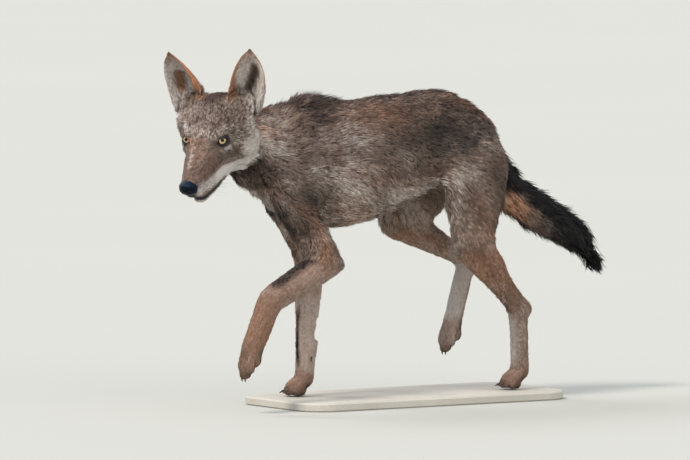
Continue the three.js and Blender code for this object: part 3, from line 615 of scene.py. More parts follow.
def paint(share, pale=None, rufous=None, black=None):
    # moves the markings towards new shares where share is above 0
    for column, value in enumerate((pale, rufous, black)):
        if value is not None:
            markings[:, column] += np.clip(share, 0, 1) * (value - markings[:, column])


def paintRows(over, rows, flip=(1, 1, 1), limit=1.0, edge=0.9):
    # rows of a first place, a last place (None for a round patch), a size, a share and the new values
    for first, last, size, share, *values in rows:
        first = np.multiply(first, flip)
        if last is None:
            shape = patch(over, first, size, 0.9)
        else:
            shape = band(over, first, np.multiply(last, flip), size, edge)
        paint(shape * limit * share, *values)


paint(smoothStep(0.55, 0.95, height) * onTrunk * 0.75, 0.2, None, 0.45)
paint(fade(0.0, 0.22, height) * isKind("trunk") * 0.8, 0.6, 0.2, 0.0)
paintRows(places, [
    ((0, -0.23, 0.66), None, (0.035, 0.06, 0.03), 0.8, 0.12, None, 0.66),  # mane
    ((0.0, -0.24, 0.66), (0.07, -0.265, 0.60), 0.015, 0.8, 0.2, None, 0.5),  # stripe down from the mane
])
bodyRows = [
    ((0.06, -0.15, 0.60), None, (0.06, 0.09, 0.05), 0.9, 0.31, 0.42, 0.14),  # shoulder
    ((0.085, -0.08, 0.53), (0.06, 0.12, 0.60), 0.058, onTrunk * 0.9, 0.16, None, 0.38),
    ((0.07, -0.195, 0.59), (0.08, -0.20, 0.45), 0.03, 0.8, 0.58, 0.25),
    ((0.076, -0.36, 0.57), None, (0.05, 0.07, 0.06), 0.8, 0.4, 0.42, 0.06),  # neck
    ((0.07, -0.41, 0.50), None, (0.05, 0.05, 0.05), 0.9, 0.12, 0.1, 0.5),
    ((0.095, -0.325, 0.43), None, (0.05, 0.06, 0.06), 0.9, 0.15, 0.12, 0.34),  # chest
    ((0.05, -0.16, 0.38), (0.06, -0.19, 0.42), 0.045, 0.85, 0.58, 0.66),
    ((0.055, -0.07, 0.41), (0.06, 0.06, 0.45), 0.045, 0.8, 0.58, 0.3),  # belly
    ((0.10, 0.125, 0.45), None, (0.06, 0.06, 0.10), 0.7, 0.44, 0.24, 0.0),  # hip and thigh
    ((0.095, 0.165, 0.50), (0.10, 0.185, 0.38), 0.035, onTrunk * 0.6, 0.28, None, 0.2),
    ((0.075, 0.19, 0.54), (0.08, 0.20, 0.44), 0.03, 0.6, 0.33, None, 0.3),
]
for s in (1, -1):
    paintRows(places, bodyRows, (s, 1, 1))
paintRows(places, [((0.01, -0.45, 0.47), (0.015, -0.36, 0.415), 0.037, 0.9, 0.85, 0.05, 0.0)])  # throat

streaky = spread(table[:, 8], 12)
markings[:, 0] += streaky * lightStreaks * 0.16
markings[:, 1] += streaky * warmStreaks * 0.14
markings[:, 2] += streaky * np.clip(-lightStreaks - 0.5, 0, 1.5) * 0.20 * (z > 0.36)

# tail: blue-black above and at the end, rufous beside the root, a small cream tip
tailRun = (y - tailLow.y) / (tailHigh.y - tailLow.y)
onTail = isKind("tail")
tailSide = smoothStep(0.1, 0.6, np.abs(skinNormals[:, 0])) * fade(0.15, 0.31, tailRun)
aboveTail = (y - 0.279) * 0.633 + (z - 0.426) * 0.774
paint(onTail * tailSide * 0.9, 0.42, 0.85, 0.02)
paint(onTail * smoothStep(0.3, 0.8, tailRun) * 0.95, 0.04, 0.05, 0.95)
paint(onTail * smoothStep(-0.005, 0.006, aboveTail) * 0.95, 0.06, 0.05, 0.9)
paint(onTail * smoothStep(0.93, 0.98, tailRun), 0.8, 0.1, 0.0)

# legs: dark smudge on the raised forearm, black line down the planted foreleg, pale fronts, dark soles, and
# far legs paler low down, partly by painted light
onTop = smoothStep(0.1, 0.6, skinNormals[:, 2])
paintRows(places, [
    ((0.095, -0.268, 0.335), (0.088, -0.300, 0.325), 0.018, 0.9, 0.08, 0.15, 0.72),
    ((0.09, -0.318, 0.315), (0.112, -0.385, 0.283), 0.018, 0.9, 0.08, 0.15, 0.72),
], limit=onTop * isKind("forearm"), edge=1.0)
# the far legs painted paler low down: partly their own pale hair, partly painted light where the light falls
# on them
farLeg = spread(skinRight, 8)
farPaleAndLitShare = spread(isKind("metacarpus", "forearm"), 8) * farLeg
paint(farPaleAndLitShare * smoothStep(0.28, 0.20, z) * 0.85, 0.84, 0.46)
line = [(-0.053, -0.233, 0.200), (-0.056, -0.236, 0.178), (-0.055, -0.237, 0.157), (-0.054, -0.237, 0.136),
        (-0.052, -0.239, 0.115), (-0.046, -0.239, 0.095)]
paintRows(places, [(first, last, 0.0062, 0.9, 0.06, 0.1, 0.8) for first, last in zip(line, line[1:])],
          limit=isKind("metacarpus", "forearm"), edge=0.7)
farPaleAndLitShare = spread(isKind("metatarsus", "shank"), 8) * farLeg
paint(farPaleAndLitShare * smoothStep(0.37, 0.24, z) * 0.85, 0.95, 0.32)
paint(spread(isKind("hindpaw"), 8) * farLeg * 0.5, 0.8, 0.35)
front, rearward = smoothStep(0.45, 0.9, -skinNormals[:, 1]), smoothStep(0.3, 0.8, skinNormals[:, 1])
paint(spread(isKind("metatarsus"), 8) * front * 0.8, 0.88, 0.15, 0.0)
paint(isKind("metatarsus", "shank") * rearward * 0.8, 0.32, 0.85)
soles = {"forepaw_left": (0, 0.96, -0.28), "forepaw_right": (0, 0, -1), "hindpaw_left": (0, 0, -1),
         "hindpaw_right": (0, 0.94, -0.33)}
for name, way in soles.items():
    of = isPart(*name.split("_"))
    under = smoothStep(0.3, 0.7, skinNormals @ unitRows(np.array([way], float))[0]) * of
    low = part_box(name)[0]
    toes = fade(low.z + 0.004, low.z + 0.030, z) * of * 0.6
    paint(np.maximum(under, toes) * 0.9, 0.1, 0.25, 0.55)

# face: dark bridge, cheek and brow lines, white lips and cheeks, pale spots round the eyes, and a painted
# highlight down the far side of the muzzle
paint(isHead * smoothStep(5, 30, u) * fade(-5, 20, f) * 0.9, 0.25, 0.18, 0.2)
mottle += isHead * smoothStep(0, 30, u) * 0.5
paint(patch(head0, (-84, 0, 58), (34, 27, 26), 0.8) * isHead * 0.9, 0.12, 0.35, 0.5)
bridgeRows = [
    ((20, 0, 0), (98, 0, -38), 14, 1.0, 0.28, 0.40, 0.02),
    ((72, 0, -24), (102, 0, -40), 13, 0.8, 0.16, 0.3, 0.1),
]
faceRows = [
    ((28, 36, -26), (80, 24, -34), 12, 0.9, 0.09, 0.36, 0.14),  # side of the muzzle
    ((14, 28, -1), (50, 25, -22), 9, 0.75, 0.14, 0.32, 0.16),
    ((20, 34, -66), (96, 18, -62), 14, 0.9, 0.82, 0.0, 0.0),  # lip
    ((-34, 78, -28), (-64, 80, -42), 19, 0.9, 0.86, 0.02, 0.0),  # cheek
    ((26, 42, -32), (-4, 57, -27), 11, 0.8, 0.18, 0.1, 0.16),
    ((-25, 64, -37), (-42, 67, -50), 10, 0.9, 0.9, 0.0, 0.0),
    ((-46, 86, 6), None, (24, 16, 18), 0.8, 0.66, 0.06, 0.0),
    ((8, 49, -15), (0, 54, -14), 5, 0.9, 0.9, 0.0, 0.0),  # under the eye
    ((-8, 45, 19), None, (17, 16, 7), 0.8, 0.72, 0.05, 0.0),  # brow
    ((-86, 36, 58), None, (20, 14, 22), 0.9, 0.36, 0.9, 0.1),  # root of the ear
]
farHighlightAndStreakRows = [
    # painted highlight: a pale line down the far side of the muzzle, where the light catches it
    ((34, -14, -6), (74, -12, -22), 7, 0.6, 0.66, 0.22, 0.0),
    # an orange streak at the inner corner of the far eye
    ((14, -21, 8), (30, -20, -8), 4, 0.8, 0.42, 0.85, 0.0),
]
paintRows(head0, bridgeRows, limit=isHead, edge=0.7)
for s in (1, -1):
    paintRows(head0, faceRows, (1, s, 1), isHead, 0.7)
    cheekBand = np.maximum.reduce([
        band(head0, (34, s * 32, -66), (-30, s * 50, -76), 16, 0.6),
        band(head0, (-14, s * 40, -84), (-64, s * 66, -82), 26, 0.5),
        patch(head0, (-46, s * 24, -104), (24, 22, 18), 0.6),
    ]) * isKind("head", "neck", "lower_jaw")
    paint(cheekBand, 1.0, 0.0, 0.0)
    mottle -= cheekBand * 0.85 * mottle
# the far side only: the painted highlight on the muzzle and the orange streak by the eye
paintRows(head0, farHighlightAndStreakRows, limit=isHead, edge=0.7)
paint(isKind("lower_jaw") | (isHead & (u < -96) & (f > 0)), 0.9, 0.0, 0.0)
paint(np.maximum(lidDark, lipDark), 0.0, 0.0, 1.0)

# ears: grey-white hair inside, a dark slit down the middle, rufous backs and edges, black tips
slits = {  # first and last place of the slit, its half width, its share and the new markings
    "left": ((0.126, -0.452, 0.724), (0.101, -0.452, 0.678), 0.0095, 1.0, 0.10, 0.25, 0.5),
    "right": ((-0.021, -0.546, 0.706), (-0.028, -0.534, 0.672), 0.0105, 1.0, 0.22, 0.8, 0.2),
}
for side, s in sideSigns.items():
    root, tip, axis, opening, across = earFrames[side]
    of = isPart("ear", side)
    way = places - root
    rise = (way @ axis) / np.linalg.norm(tip - root)
    beside, ahead = way @ across, way @ opening
    facing = (skinNormals @ across) * -beside + (skinNormals @ opening) * (0.02 - ahead)
    upTurned = skinNormals @ opening + 0.8 * (skinNormals @ axis)
    low = fade(0.25, 0.45, rise) * of
    low *= np.maximum(smoothStep(-0.010, 0.0, ahead), smoothStep(-0.2, 0.2, upTurned))
    inside = np.maximum(smoothStep(-0.003, 0.004, facing) * of, low)
    bins = np.clip((rise * 20).astype(int), 0, 20)
    widest = np.array([np.abs(beside[of & (bins == n)]).max(initial=0.01) for n in range(21)])[bins]
    rim = smoothStep(0.72, 0.92, np.abs(beside) / widest)
    cup = fade(0.28, 0.36, rise) * smoothStep(-0.019, -0.016, ahead) * (np.abs(beside) < 0.028) * of
    inCup = earRoots[side] * smoothStep(-0.012, 0.004, s * (l - s * 62) / 1000 + 0.012)
    paint(of, 0.34, 0.8, 0.1)
    paint(inside * (1 - 0.6 * smoothStep(0.6, 0.95, rise)), 0.78, 0.05, 0.0)
    paint(of * rim * 0.9 * smoothStep(0.1, 0.3, rise), 0.3, 0.85, 0.08)
    paint(cup * 0.9, 0.7, 0.08, 0.0)
    paint(inCup * 0.85, 0.66, 0.08, 0.08)
    paintRows(places, [slits[side]], limit=inside)
    paint(of * smoothStep(0.9, 0.98, rise) * 0.8, 0.1, 0.5, 0.6)
    coatLength = np.where(inside > 0.5, 8 + 9 * fade(0.2, 0.6, rise), coatLength)
    depth += inside * 0.005 * fade(0.15, 0.6, rise) + earRoots[side] * 0.004

markings = np.clip(spread(markings, 2), 0, 1)
mane = patch(places, (0, -0.27, 0.65), (0.03, 0.08, 0.03), 0.9)
depth = depth * np.where(onTail, 1.3, 1.0) + mane * 0.012
coatLength = coatLength + mane * 8
paint(mane * 0.6, 0.18, None, 0.5)
print("coat planned")

# Colour shared by the skin and the coat
coatColours = {
    "dark": (0.052, 0.039, 0.034),
    "middle": (0.28, 0.205, 0.165),
    "pale": (0.86, 0.81, 0.75),
    "rufous": (0.62, 0.27, 0.13),
    "black": (0.009, 0.009, 0.011),
}


def makeAgouti():
    # hair colour from the markings: banded grey-brown with pale, rufous and black shares
    n, start = newGroup("agouti", "ShaderNodeTree", {"Markings": "Color", "Mottle": "Float", "Along": "Float",
                                                     "Chance": "Float"}, ("Color", "Color"))
    along, chance, mottle = start["Along"], start["Chance"], start["Mottle"]
    pale, rufous, black = n.node("ShaderNodeSeparateColor", {0: start["Markings"]}).outputs
    stray = n.sub(chance, 0.5)
    uneven = n.sub(n.noise(130.0, 3.0), 0.5)
    patchy = n.sub(n.noise(22.0, 2.0), 0.5)
    # pale share, scattered most where the hair is neither all pale nor all dark
    room = n.mul(n.mulAdd(n.mul(pale, n.sub(1.0, pale)), 3.0, 0.12), mottle)
    scatter = n.mulAdd(uneven, 1.4, n.remap(along, 0.35, 0.75, -0.12, 0.12))
    scatter = n.add(n.mulAdd(stray, 0.75, scatter), n.mul(patchy, 0.7))
    pale = n.mulAdd(scatter, room, pale)
    banded = n.ramp(pale, *zip((0.0, 0.46, 1.0), [coatColours[name] for name in ("dark", "middle", "pale")]))
    # rufous share warms it, most where it is pale
    uncertain = n.mul(n.add(stray, uneven), mottle)
    warmth = n.mul(n.clamp(n.mulAdd(uncertain, 0.5, rufous)), rufous)
    warmed = n.mix(warmth, banded, (*coatColours["rufous"], 1))
    light = n.mix(warmth, (1, 1, 1, 1), n.mulAdd(pale, 1.1, 0.45))
    tinted = n.mix(1.0, warmed, light, "MULTIPLY")
    # black share: whole hairs, and the tips of the others
    fleck = n.add(n.mul(stray, 0.7), n.mul(uneven, 1.6))
    blackness = n.add(n.add(black, fleck), n.remap(along, 0.72, 0.95, 0.0, 0.3))
    blackness = n.mul(n.remap(blackness, 0.42, 0.74), n.remap(black, 0.0, 0.08))
    blackened = n.mix(blackness, tinted, (*coatColours["black"], 1))
    # roots lie in shade
    done = n.mix(1.0, blackened, n.remap(along, 0.0, 0.62, 0.38, 1.0), "MULTIPLY")
    n.node("NodeGroupOutput", {0: done})
    return n.tree


def makeStrands():
    # fine lines along the lie of the hair, as a height
    n, start = newGroup("strands", "ShaderNodeTree", {"Lie": "Vector", "Fineness": "Float"},
                        ("Height", "Float"))
    place = n.objectPlace()
    alongLie = n.scaled(start["Lie"], n.vector("DOT_PRODUCT", place, start["Lie"]))
    squashed = n.vector("SUBTRACT", place, n.scaled(alongLie, 0.9))
    n.node("NodeGroupOutput", {0: n.noise(start["Fineness"], 4.0, squashed)})
    return n.tree


agouti, strands = makeAgouti(), makeStrands()


def hairColour(n, along, chance):
    marked = n.read("markings")
    return n.out("ShaderNodeGroup", {"Markings": marked["Color"], "Mottle": marked["Alpha"], "Along": along,
                                     "Chance": chance}, node_tree=agouti)


def makeSkinMaterial():
    material, n = newMaterial("shortFur")
    lines = n.out("ShaderNodeGroup", {"Lie": n.read("lie")["Vector"], "Fineness": 900.0}, node_tree=strands)
    colour = hairColour(n, n.mulAdd(lines, 0.5, 0.2), n.mulAdd(n.noise(420.0), 1.6, -0.3))
    n.shade(colour, n.mulAdd(n.read("wet")["Fac"], -0.42, 0.8), 0.3, n.bump(lines, 0.35, 0.0008))
    return material


def makeCoatMaterial():
    material, n = newMaterial("coatHair")
    chance = n.read("chance")["Fac"]
    ownNormal = n.node("ShaderNodeNewGeometry").outputs["Normal"]
    mixed = n.mixVectors(0.6, ownNormal, n.read("coatNormal")["Vector"])
    n.shade(hairColour(n, n.read("along")["Fac"], chance), n.mulAdd(chance, 0.2, 0.55), 0.28,
            n.vector("NORMALIZE", mixed))
    return material


skinMaterial, coatMaterial = makeSkinMaterial(), makeCoatMaterial()

# what the coat and the materials read from the skin
for name, values in {"lie": lie, "skinNormal": skinNormals, "markings": np.column_stack([markings, mottle]),
                     "coatLength": coatLength, "coatWidth": coatWidth, "coatDensity": coatDensity,
                     "coatDepth": depth, "coatCling": cling, "wet": np.maximum(lidDark, lipDark)}.items():
    keep(skinMesh, name, values)
skinMesh.vertices.foreach_set("co", places.ravel())
skinMesh.update()
skin = newPiece("skin", skinMesh, skinMaterial)
skinMesh.uv_layers.new(name="OFBake")
bpy.context.view_layer.objects.active = skin
skin.select_set(True)
bpy.ops.object.mode_set(mode="EDIT")
bpy.ops.mesh.select_all(action="SELECT")
bpy.ops.uv.smart_project(angle_limit=math.radians(66), island_margin=0.002)
bpy.ops.object.mode_set(mode="OBJECT")
print("skin unwrapped")

# Coat: tufts grown over the skin, one piece for each region
coatSizes = {
    "amount": 0.78,  # share of the table's numbers of tufts
    "mostTufts": 32200,
    "thickness": 0.55,  # of a tuft, as a share of its width
    "patch": 0.0015,  # half of a tuft's patch on the skin's unwrap
    "seed": 11,
}
coatRegions = {  # how wide a lock is, how far its tufts draw together, and the kinds of part it covers
    "face": (0.005, 0.3, ()),
    "ruff": (0.009, 0.6, ()),
    "neck": (0.020, 0.85, ("neck", "upper_foreleg")),
    "flanks": (0.018, 0.85, ()),
    "loins": (0.016, 0.8, ()),
    "forelegs": (0.008, 0.4, ("forearm", "metacarpus", "forepaw")),
    "hindlegs": (0.008, 0.4, ("shank", "metatarsus", "hindpaw")),
    "tail": (0.017, 0.8, ("tail", "thigh")),
}
faceCorners = rowsOf(skinMesh.polygons, "vertices", 3, np.int64)
first, second, third = places[faceCorners].transpose(1, 0, 2)
faceAreas = np.linalg.norm(np.cross(second - first, third - first), axis=1) / 2
regionNames = list(coatRegions)
regionOf = np.where(runs > 0.5, regionNames.index("loins"), regionNames.index("flanks"))
regionOf[isHead] = regionNames.index("face")
regionOf[(isHead & (f < -38)) | isKind("ear")] = regionNames.index("ruff")
for number, (width, pull, covered) in enumerate(coatRegions.values()):
    regionOf[isKind(*covered)] = number
faceRegions = regionOf[faceCorners[:, 0]]
skinMesh.attributes.new("coatRegion", "INT", "FACE").data.foreach_set("value", faceRegions.astype("i"))
tuftsWanted = faceAreas * coatDensity[faceCorners].mean(1) * 1e6


def makeCoatTree():
    n, start = newGroup("coatTufts", "GeometryNodeTree", {
        "Skin": "Geometry", "Tuft": "Object", "Region": "Int", "Amount": "Float", "Seed": "Int",
        "Thickness": "Float", "Lock Size": "Float", "Lock Pull": "Float", "Material": "Material",
    }, ("Coat", "Geometry"))

    def named(name, kind="FLOAT"):
        return n.out("GeometryNodeInputNamedAttribute", {0: name}, data_type=kind)

    def store(geometry, name, value, kind="FLOAT", domain="POINT"):
        return n.out("GeometryNodeStoreNamedAttribute", {0: geometry, "Name": name, "Value": value},
                     data_type=kind, domain=domain)

    def chanceOf(low, high, seed):
        return n.node("FunctionNodeRandomValue", {2: low, 3: high, 8: seed}, data_type="FLOAT").outputs[1]

    def alongOf(vector, way):
        return n.vector("DOT_PRODUCT", vector, way)

    def plus(a, b):
        return n.vector("ADD", a, b)

    # roots scattered over this region of the skin
    lieWay, normal = named("lie", "FLOAT_VECTOR"), named("skinNormal", "FLOAT_VECTOR")
    isHere = n.out("FunctionNodeCompare", {2: named("coatRegion", "INT"), 3: start["Region"]},
                   data_type="INT", operation="EQUAL")
    density = n.mul(n.mul(named("coatDensity"), start["Amount"]), 1e6)
    roots = n.out("GeometryNodeDistributePointsOnFaces",
                  {"Mesh": start["Skin"], "Selection": isHere, "Density": density, "Seed": start["Seed"]},
                  distribute_method="RANDOM")
    place = n.out("GeometryNodeInputPosition")
    roots = store(roots, "root", place, "FLOAT_VECTOR")
    roots = store(roots, "rootUV", named("OFBake", "FLOAT_VECTOR"), "FLOAT_VECTOR")
    # neighbouring tufts share some of their chance, in streaks along the lie
    across = n.vector("SUBTRACT", place, n.scaled(n.scaled(lieWay, alongOf(place, lieWay)), 0.75))
    streak = n.mulAdd(n.noise(210.0, 2.0, across), 2.4, -1.2)
    roots = store(roots, "chance", n.clamp(n.add(chanceOf(0.3, 0.7, 3), streak)))
    for name, low, high, seed in (("roll", -0.7, 0.7, 4), ("sway", -1.0, 1.0, 5), ("lifted", 0.7, 1.2, 6),
                                  ("reach", 0.7, 1.15, 7)):
        roots = store(roots, name, chanceOf(low, high, seed))

    # one lock on each root, which keeps its own shape as an attribute
    lock = n.node("GeometryNodeObjectInfo", {0: start["Tuft"]}).outputs["Geometry"]
    lock = store(lock, "shape", place, "FLOAT_VECTOR")
    placed = n.out("GeometryNodeInstanceOnPoints", {"Points": roots, "Instance": lock})
    tufts = n.out("GeometryNodeRealizeInstances", {0: placed})
    shape = n.node("ShaderNodeSeparateXYZ", {0: named("shape", "FLOAT_VECTOR")}).outputs
    tufts = store(tufts, "along", n.math("POWER", n.mulAdd(shape[2], 0.5, 0.5), 1.3))
    t = named("along")

    # out along the lie of the coat, pulled together into locks
    root = named("root", "FLOAT_VECTOR")
    aside = n.vector("NORMALIZE", n.vector("CROSS_PRODUCT", lieWay, normal))
    swayed = n.vector("NORMALIZE", plus(lieWay, n.scaled(aside, n.mul(named("sway"), 0.16))))
    length = n.mul(n.mul(named("coatLength"), 0.001), named("reach"))
    spine = plus(root, n.scaled(swayed, n.mul(length, t)))
    lockScale = n.math("DIVIDE", 1.0, start["Lock Size"])
    cells = n.node("ShaderNodeTexVoronoi", {"Vector": root, "Scale": lockScale}, feature="F1").outputs
    sideways = n.scaled(aside, alongOf(n.vector("SUBTRACT", cells["Position"], root), aside))
    spine = plus(spine, n.scaled(sideways, n.mul(n.mul(t, t), start["Lock Pull"])))

    # laid back on the skin at its own height there
    nearest = n.out("GeometryNodeSampleNearestSurface",
                    {"Mesh": start["Skin"], "Value": normal, "Sample Position": spine},
                    data_type="FLOAT_VECTOR")
    touching = n.out("GeometryNodeProximity", {"Geometry": start["Skin"], "Sample Position": spine},
                     target_element="FACES")
    spine = n.mixVectors(named("coatCling"), spine, touching)
    outwards = n.vector("NORMALIZE", nearest)
    rest = n.sub(1.0, t)
    rise = n.sub(1.0, n.mul(rest, rest))
    crown = n.remap(cells["Distance"], 0.15, 0.75, 1.0, 0.5)
    height = n.mul(n.mul(n.mul(named("coatDepth"), named("lifted")), rise), crown)
    spine = plus(spine, n.scaled(outwards, n.sub(height, n.mul(rest, 0.0007))))

    # its own width round that line
    width = n.mul(named("coatWidth"), 0.001)
    cosRoll, sinRoll = n.math("COSINE", named("roll")), n.math("SINE", named("roll"))
    x = n.sub(n.mul(shape[0], cosRoll), n.mul(shape[1], sinRoll))
    y = n.add(n.mul(shape[0], sinRoll), n.mul(shape[1], cosRoll))
    thick = n.scaled(outwards, n.mul(n.mul(y, width), start["Thickness"]))
    body = plus(n.scaled(aside, n.mul(x, width)), thick)
    tufts = n.out("GeometryNodeSetPosition", {"Geometry": tufts, "Position": plus(spine, body)})

    # a patch of the skin's unwrap for each tuft, and what its material reads
    patchAt = n.out("ShaderNodeCombineXYZ", {0: n.mul(shape[0], coatSizes["patch"]),
                                             1: n.mul(shape[2], coatSizes["patch"])})
    tufts = store(tufts, "coatNormal", normal, "FLOAT_VECTOR")
    tufts = store(tufts, "OFBake", plus(named("rootUV", "FLOAT_VECTOR"), patchAt), "FLOAT2", "CORNER")
    for name in ("root", "rootUV", "shape", "roll", "sway", "lifted", "reach", "lie", "skinNormal", "wet",
                 "coatLength", "coatWidth", "coatDensity", "coatDepth", "coatCling", "coatRegion"):
        tufts = n.out("GeometryNodeRemoveAttribute", {0: tufts, "Name": name})
    tufts = n.out("GeometryNodeSetShadeSmooth", {0: tufts})
    tufts = n.out("GeometryNodeSetMaterial", {0: tufts, "Material": start["Material"]})
    n.node("NodeGroupOutput", {0: tufts})
    return n.tree


coatTree = makeCoatTree()
socketIds = {item.name: item.identifier for item in coatTree.interface.items_tree if item.in_out == "INPUT"}
# a closed lock of hair: a root point, one ring of three corners and a tip, along +Z from -1 to 1
tuft = newObject("tuft", simpleMesh("tuft", bmesh.ops.create_uvsphere, u_segments=3, v_segments=2, radius=1))
grower = newObject("grower", skinMesh)
for number, (region, (lockSize, lockPull, covered)) in enumerate(coatRegions.items()):
    wanted = tuftsWanted[faceRegions == number].sum()
    amount = min(coatSizes["amount"], coatSizes["mostTufts"] / wanted)
    growth = grower.modifiers.new("coat", "NODES")
    growth.node_group = coatTree
    settings = {"Tuft": tuft, "Region": number, "Amount": amount, "Seed": coatSizes["seed"] + number,
                "Thickness": coatSizes["thickness"], "Lock Size": lockSize, "Lock Pull": lockPull,
                "Material": coatMaterial}
    for name, value in settings.items():
        growth[socketIds[name]] = value
    mesh = evaluated(grower)
    grower.modifiers.remove(growth)
    newPiece("coat_" + region, mesh, None)
    print("coat", region, "wanted", int(wanted), "amount", round(amount, 2), "triangles",
          sum(len(p.vertices) - 2 for p in mesh.polygons))
bpy.data.objects.remove(grower)
bpy.data.objects.remove(tuft)
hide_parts(*[name for name in fleshNames if kindOf(name) not in ("eye", "nose")])

# Eyes: the colours out from the pupil's middle, with its edge at 0.35
irisColours = [(0.0, (0.003, 0.003, 0.004)), (0.35, (0.003, 0.003, 0.004)), (0.39, (0.22, 0.14, 0.065)),
               (0.55, (0.60, 0.45, 0.23)), (0.74, (0.50, 0.34, 0.17)), (0.84, (0.06, 0.035, 0.02)),
               (0.9, (0.03, 0.02, 0.017)), (1.0, (0.012, 0.008, 0.007))]
eyeMaterial, n = newMaterial("glassEye")
spokes = n.sub(n.noise(7.0, 5.0, n.read("irisWay")["Vector"]), 0.5)
n.shade(n.ramp(n.mulAdd(spokes, 0.18, n.read("fromPupil")["Fac"]), *irisColours), 0.06, 0.2)
for side in sideSigns:
    gaze = headWay(*eyeSizes["gaze"][side]).normalized()
    centre = ballCentres[side]
    mesh = simpleMesh("eyeball", bmesh.ops.create_uvsphere, u_segments=64, v_segments=48,
                      radius=eyeSizes["ball"] * mm)
    co = rowsOf(mesh.vertices, "co")
    ahead = co @ np.array(gaze)
    beside = co - np.outer(ahead, gaze)
    reach = np.where(ahead > 0, np.linalg.norm(beside, axis=1) / mm, 12)
    bulge = eyeSizes["cornea"] * fade(2, eyeSizes["iris"] + 1.5, reach) * mm
    mesh.vertices.foreach_set("co", (co + unitRows(co) * bulge[:, None] + np.array(centre)).ravel())
    keep(mesh, "fromPupil", reach * irisColours[1][0] / eyeSizes["pupil"])
    keep(mesh, "irisWay", unitRows(beside) + beside * 25)
    mesh.update()
    eye = newPiece("eyeball_" + side, mesh, eyeMaterial)
    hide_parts("eye_" + side)


def ringAt(place, wide, high, sides):
    # corners round a place, from the way called wide towards the way called high
    angles = [turn * 2 * math.pi / sides for turn in range(sides)]
    return [place + wide * math.cos(angle) + high * math.sin(angle) for angle in angles]


def tubeOf(rings, first=0, closed=False):
    # the faces that join rings of corners, numbered on from first, with ends or back into a loop
    sides = len(rings[0])
    faces = []
    for n in range(len(rings) - (not closed)):
        low, high = first + n * sides, first + (n + 1) % len(rings) * sides
        faces += [(low + turn, high + turn, high + (turn + 1) % sides, low + (turn + 1) % sides)
                  for turn in range(sides)]
    if not closed:
        last = first + (len(rings) - 1) * sides
        faces += [tuple(range(first, first + sides)), tuple(range(last + sides - 1, last - 1, -1))]
    return faces


# smooth dark edges round the openings, lying on the balls
rimColours = [(0.0, (0.004, 0.0035, 0.004)), (1.0, (0.014, 0.011, 0.011))]
rimMaterial = tonedMaterial("wetLidEdge", 500.0, 3.0, rimColours, 0.4, 0.3)
for side in sideSigns:
    out, across, up = lidFrame(side)
    thick = eyeSizes["rim"] * mm
    line = []
    for x, y in lidEdge(56).tolist():
        rise = math.sqrt(max(0.0, (eyeSizes["ball"] + 0.75) ** 2 - x * x - y * y))
        line.append(ballCentres[side] + (across * x + up * y + out * rise) * mm)
    rings = []
    for before, place, after in zip(line[-1:] + line, line, line[1:] + line[:1]):
        outwards = (place - ballCentres[side]).normalized()
        beside = (after - before).normalized().cross(outwards).normalized()
        rings.append(ringAt(place, beside * thick * 1.4, outwards * thick, 8))
    mesh = outwardMesh("lidRim_" + side, sum(rings, []), tubeOf(rings, closed=True))
    newPiece("lidRim_" + side, mesh, rimMaterial)
print("eyes set")

# Nose pad: its nostrils' size, and their place and depth in the head's frame, in millimetres
noseSizes = {"grain": 0.0008, "swell": 0.0004, "nostril": (4.4, 3.6), "deep": 6.5, "aside": 9.0,
             "down": -50.5}


def makeNose():
    shape = newObject("noseShape", joinedNodes(["nose"], noseSizes["swell"])[0])
    modify(shape, "REMESH", mode="VOXEL", voxel_size=noseSizes["grain"])
    modify(shape, "SMOOTH", iterations=28)
    mesh = evaluated(shape)
    bpy.data.objects.remove(shape)
    co = rowsOf(mesh.vertices, "co")
    f, l, u = headPlaces(co).T
    wide, high = noseSizes["nostril"]
    push = 1.4 * np.exp(-(l / 1.1) ** 2) * (f > 98) * fade(-60, -50, u)  # the middle groove
    for s in (1, -1):
        # a comma-shaped nostril, open to the front and drawn out along the side
        hole = np.hypot((l - s * noseSizes["aside"]) / wide, (u - noseSizes["down"]) / high)
        tail = np.hypot((l - s * (noseSizes["aside"] + 6)) / 6.0, (u - noseSizes["down"] + 2.8) / 1.6)
        push += (f > 100) * noseSizes["deep"] * fade(0.45, 1.15, hole)
        push += (f > 92) * 3.2 * fade(0.3, 1.3, tail)
    co = co - rowsOf(mesh.vertices, "normal") * (np.minimum(push, noseSizes["deep"]) * mm)[:, None]
    mesh.vertices.foreach_set("co", co.ravel())
    mesh.update()
    return mesh


def makeNoseMaterial():
    # pebbled black, with a painted blue sheen on top: a painted reflection of the sky on the faces that look
    # up
    material, n = newMaterial("nosePad")
    cells = n.out("ShaderNodeTexVoronoi", {"Vector": n.objectPlace(), "Scale": 620.0},
                  feature="DISTANCE_TO_EDGE")
    black = n.ramp(n.noise(90.0, 3.0), (0.3, (0.0025, 0.0027, 0.0035)), (0.7, (0.005, 0.006, 0.009)))
    normal = n.node("ShaderNodeNewGeometry").outputs["Normal"]
    # painted sheen: the base colour goes from black to blue as the faces turn upward
    onTop = n.remap(n.node("ShaderNodeSeparateXYZ", {0: normal}).outputs[2], 0.0, 0.85)
    n.shade(n.mix(onTop, black, (0.004, 0.010, 0.021, 1)), 0.4, 0.14, n.bump(cells, 0.5, 0.0005))
    n.tree.nodes["Principled BSDF"].inputs["Specular Tint"].default_value = (0.35, 0.62, 1.0, 1)
    return material


nosePad = newPiece("nosePad", makeNose(), makeNoseMaterial())
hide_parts("nose")

# Claws
clawNames = [name for name in cadNodes if "claw" in name]
clawColours = [(0.35, (0.012, 0.010, 0.009)), (0.75, (0.075, 0.055, 0.042))]
clawMaterial = tonedMaterial("clawHorn", 260.0, 4.0, clawColours, 0.36, bump=(0.3, 0.0004))
claws = newPiece("claws", joinedNodes(clawNames)[0], clawMaterial)
modify(claws, "SUBSURF", levels=1, render_levels=1)
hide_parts(*clawNames)

# Whiskers
whiskerSizes = {"rows": 4, "inRow": 4, "long": 46, "thick": 0.22, "steps": 7, "sides": 4}


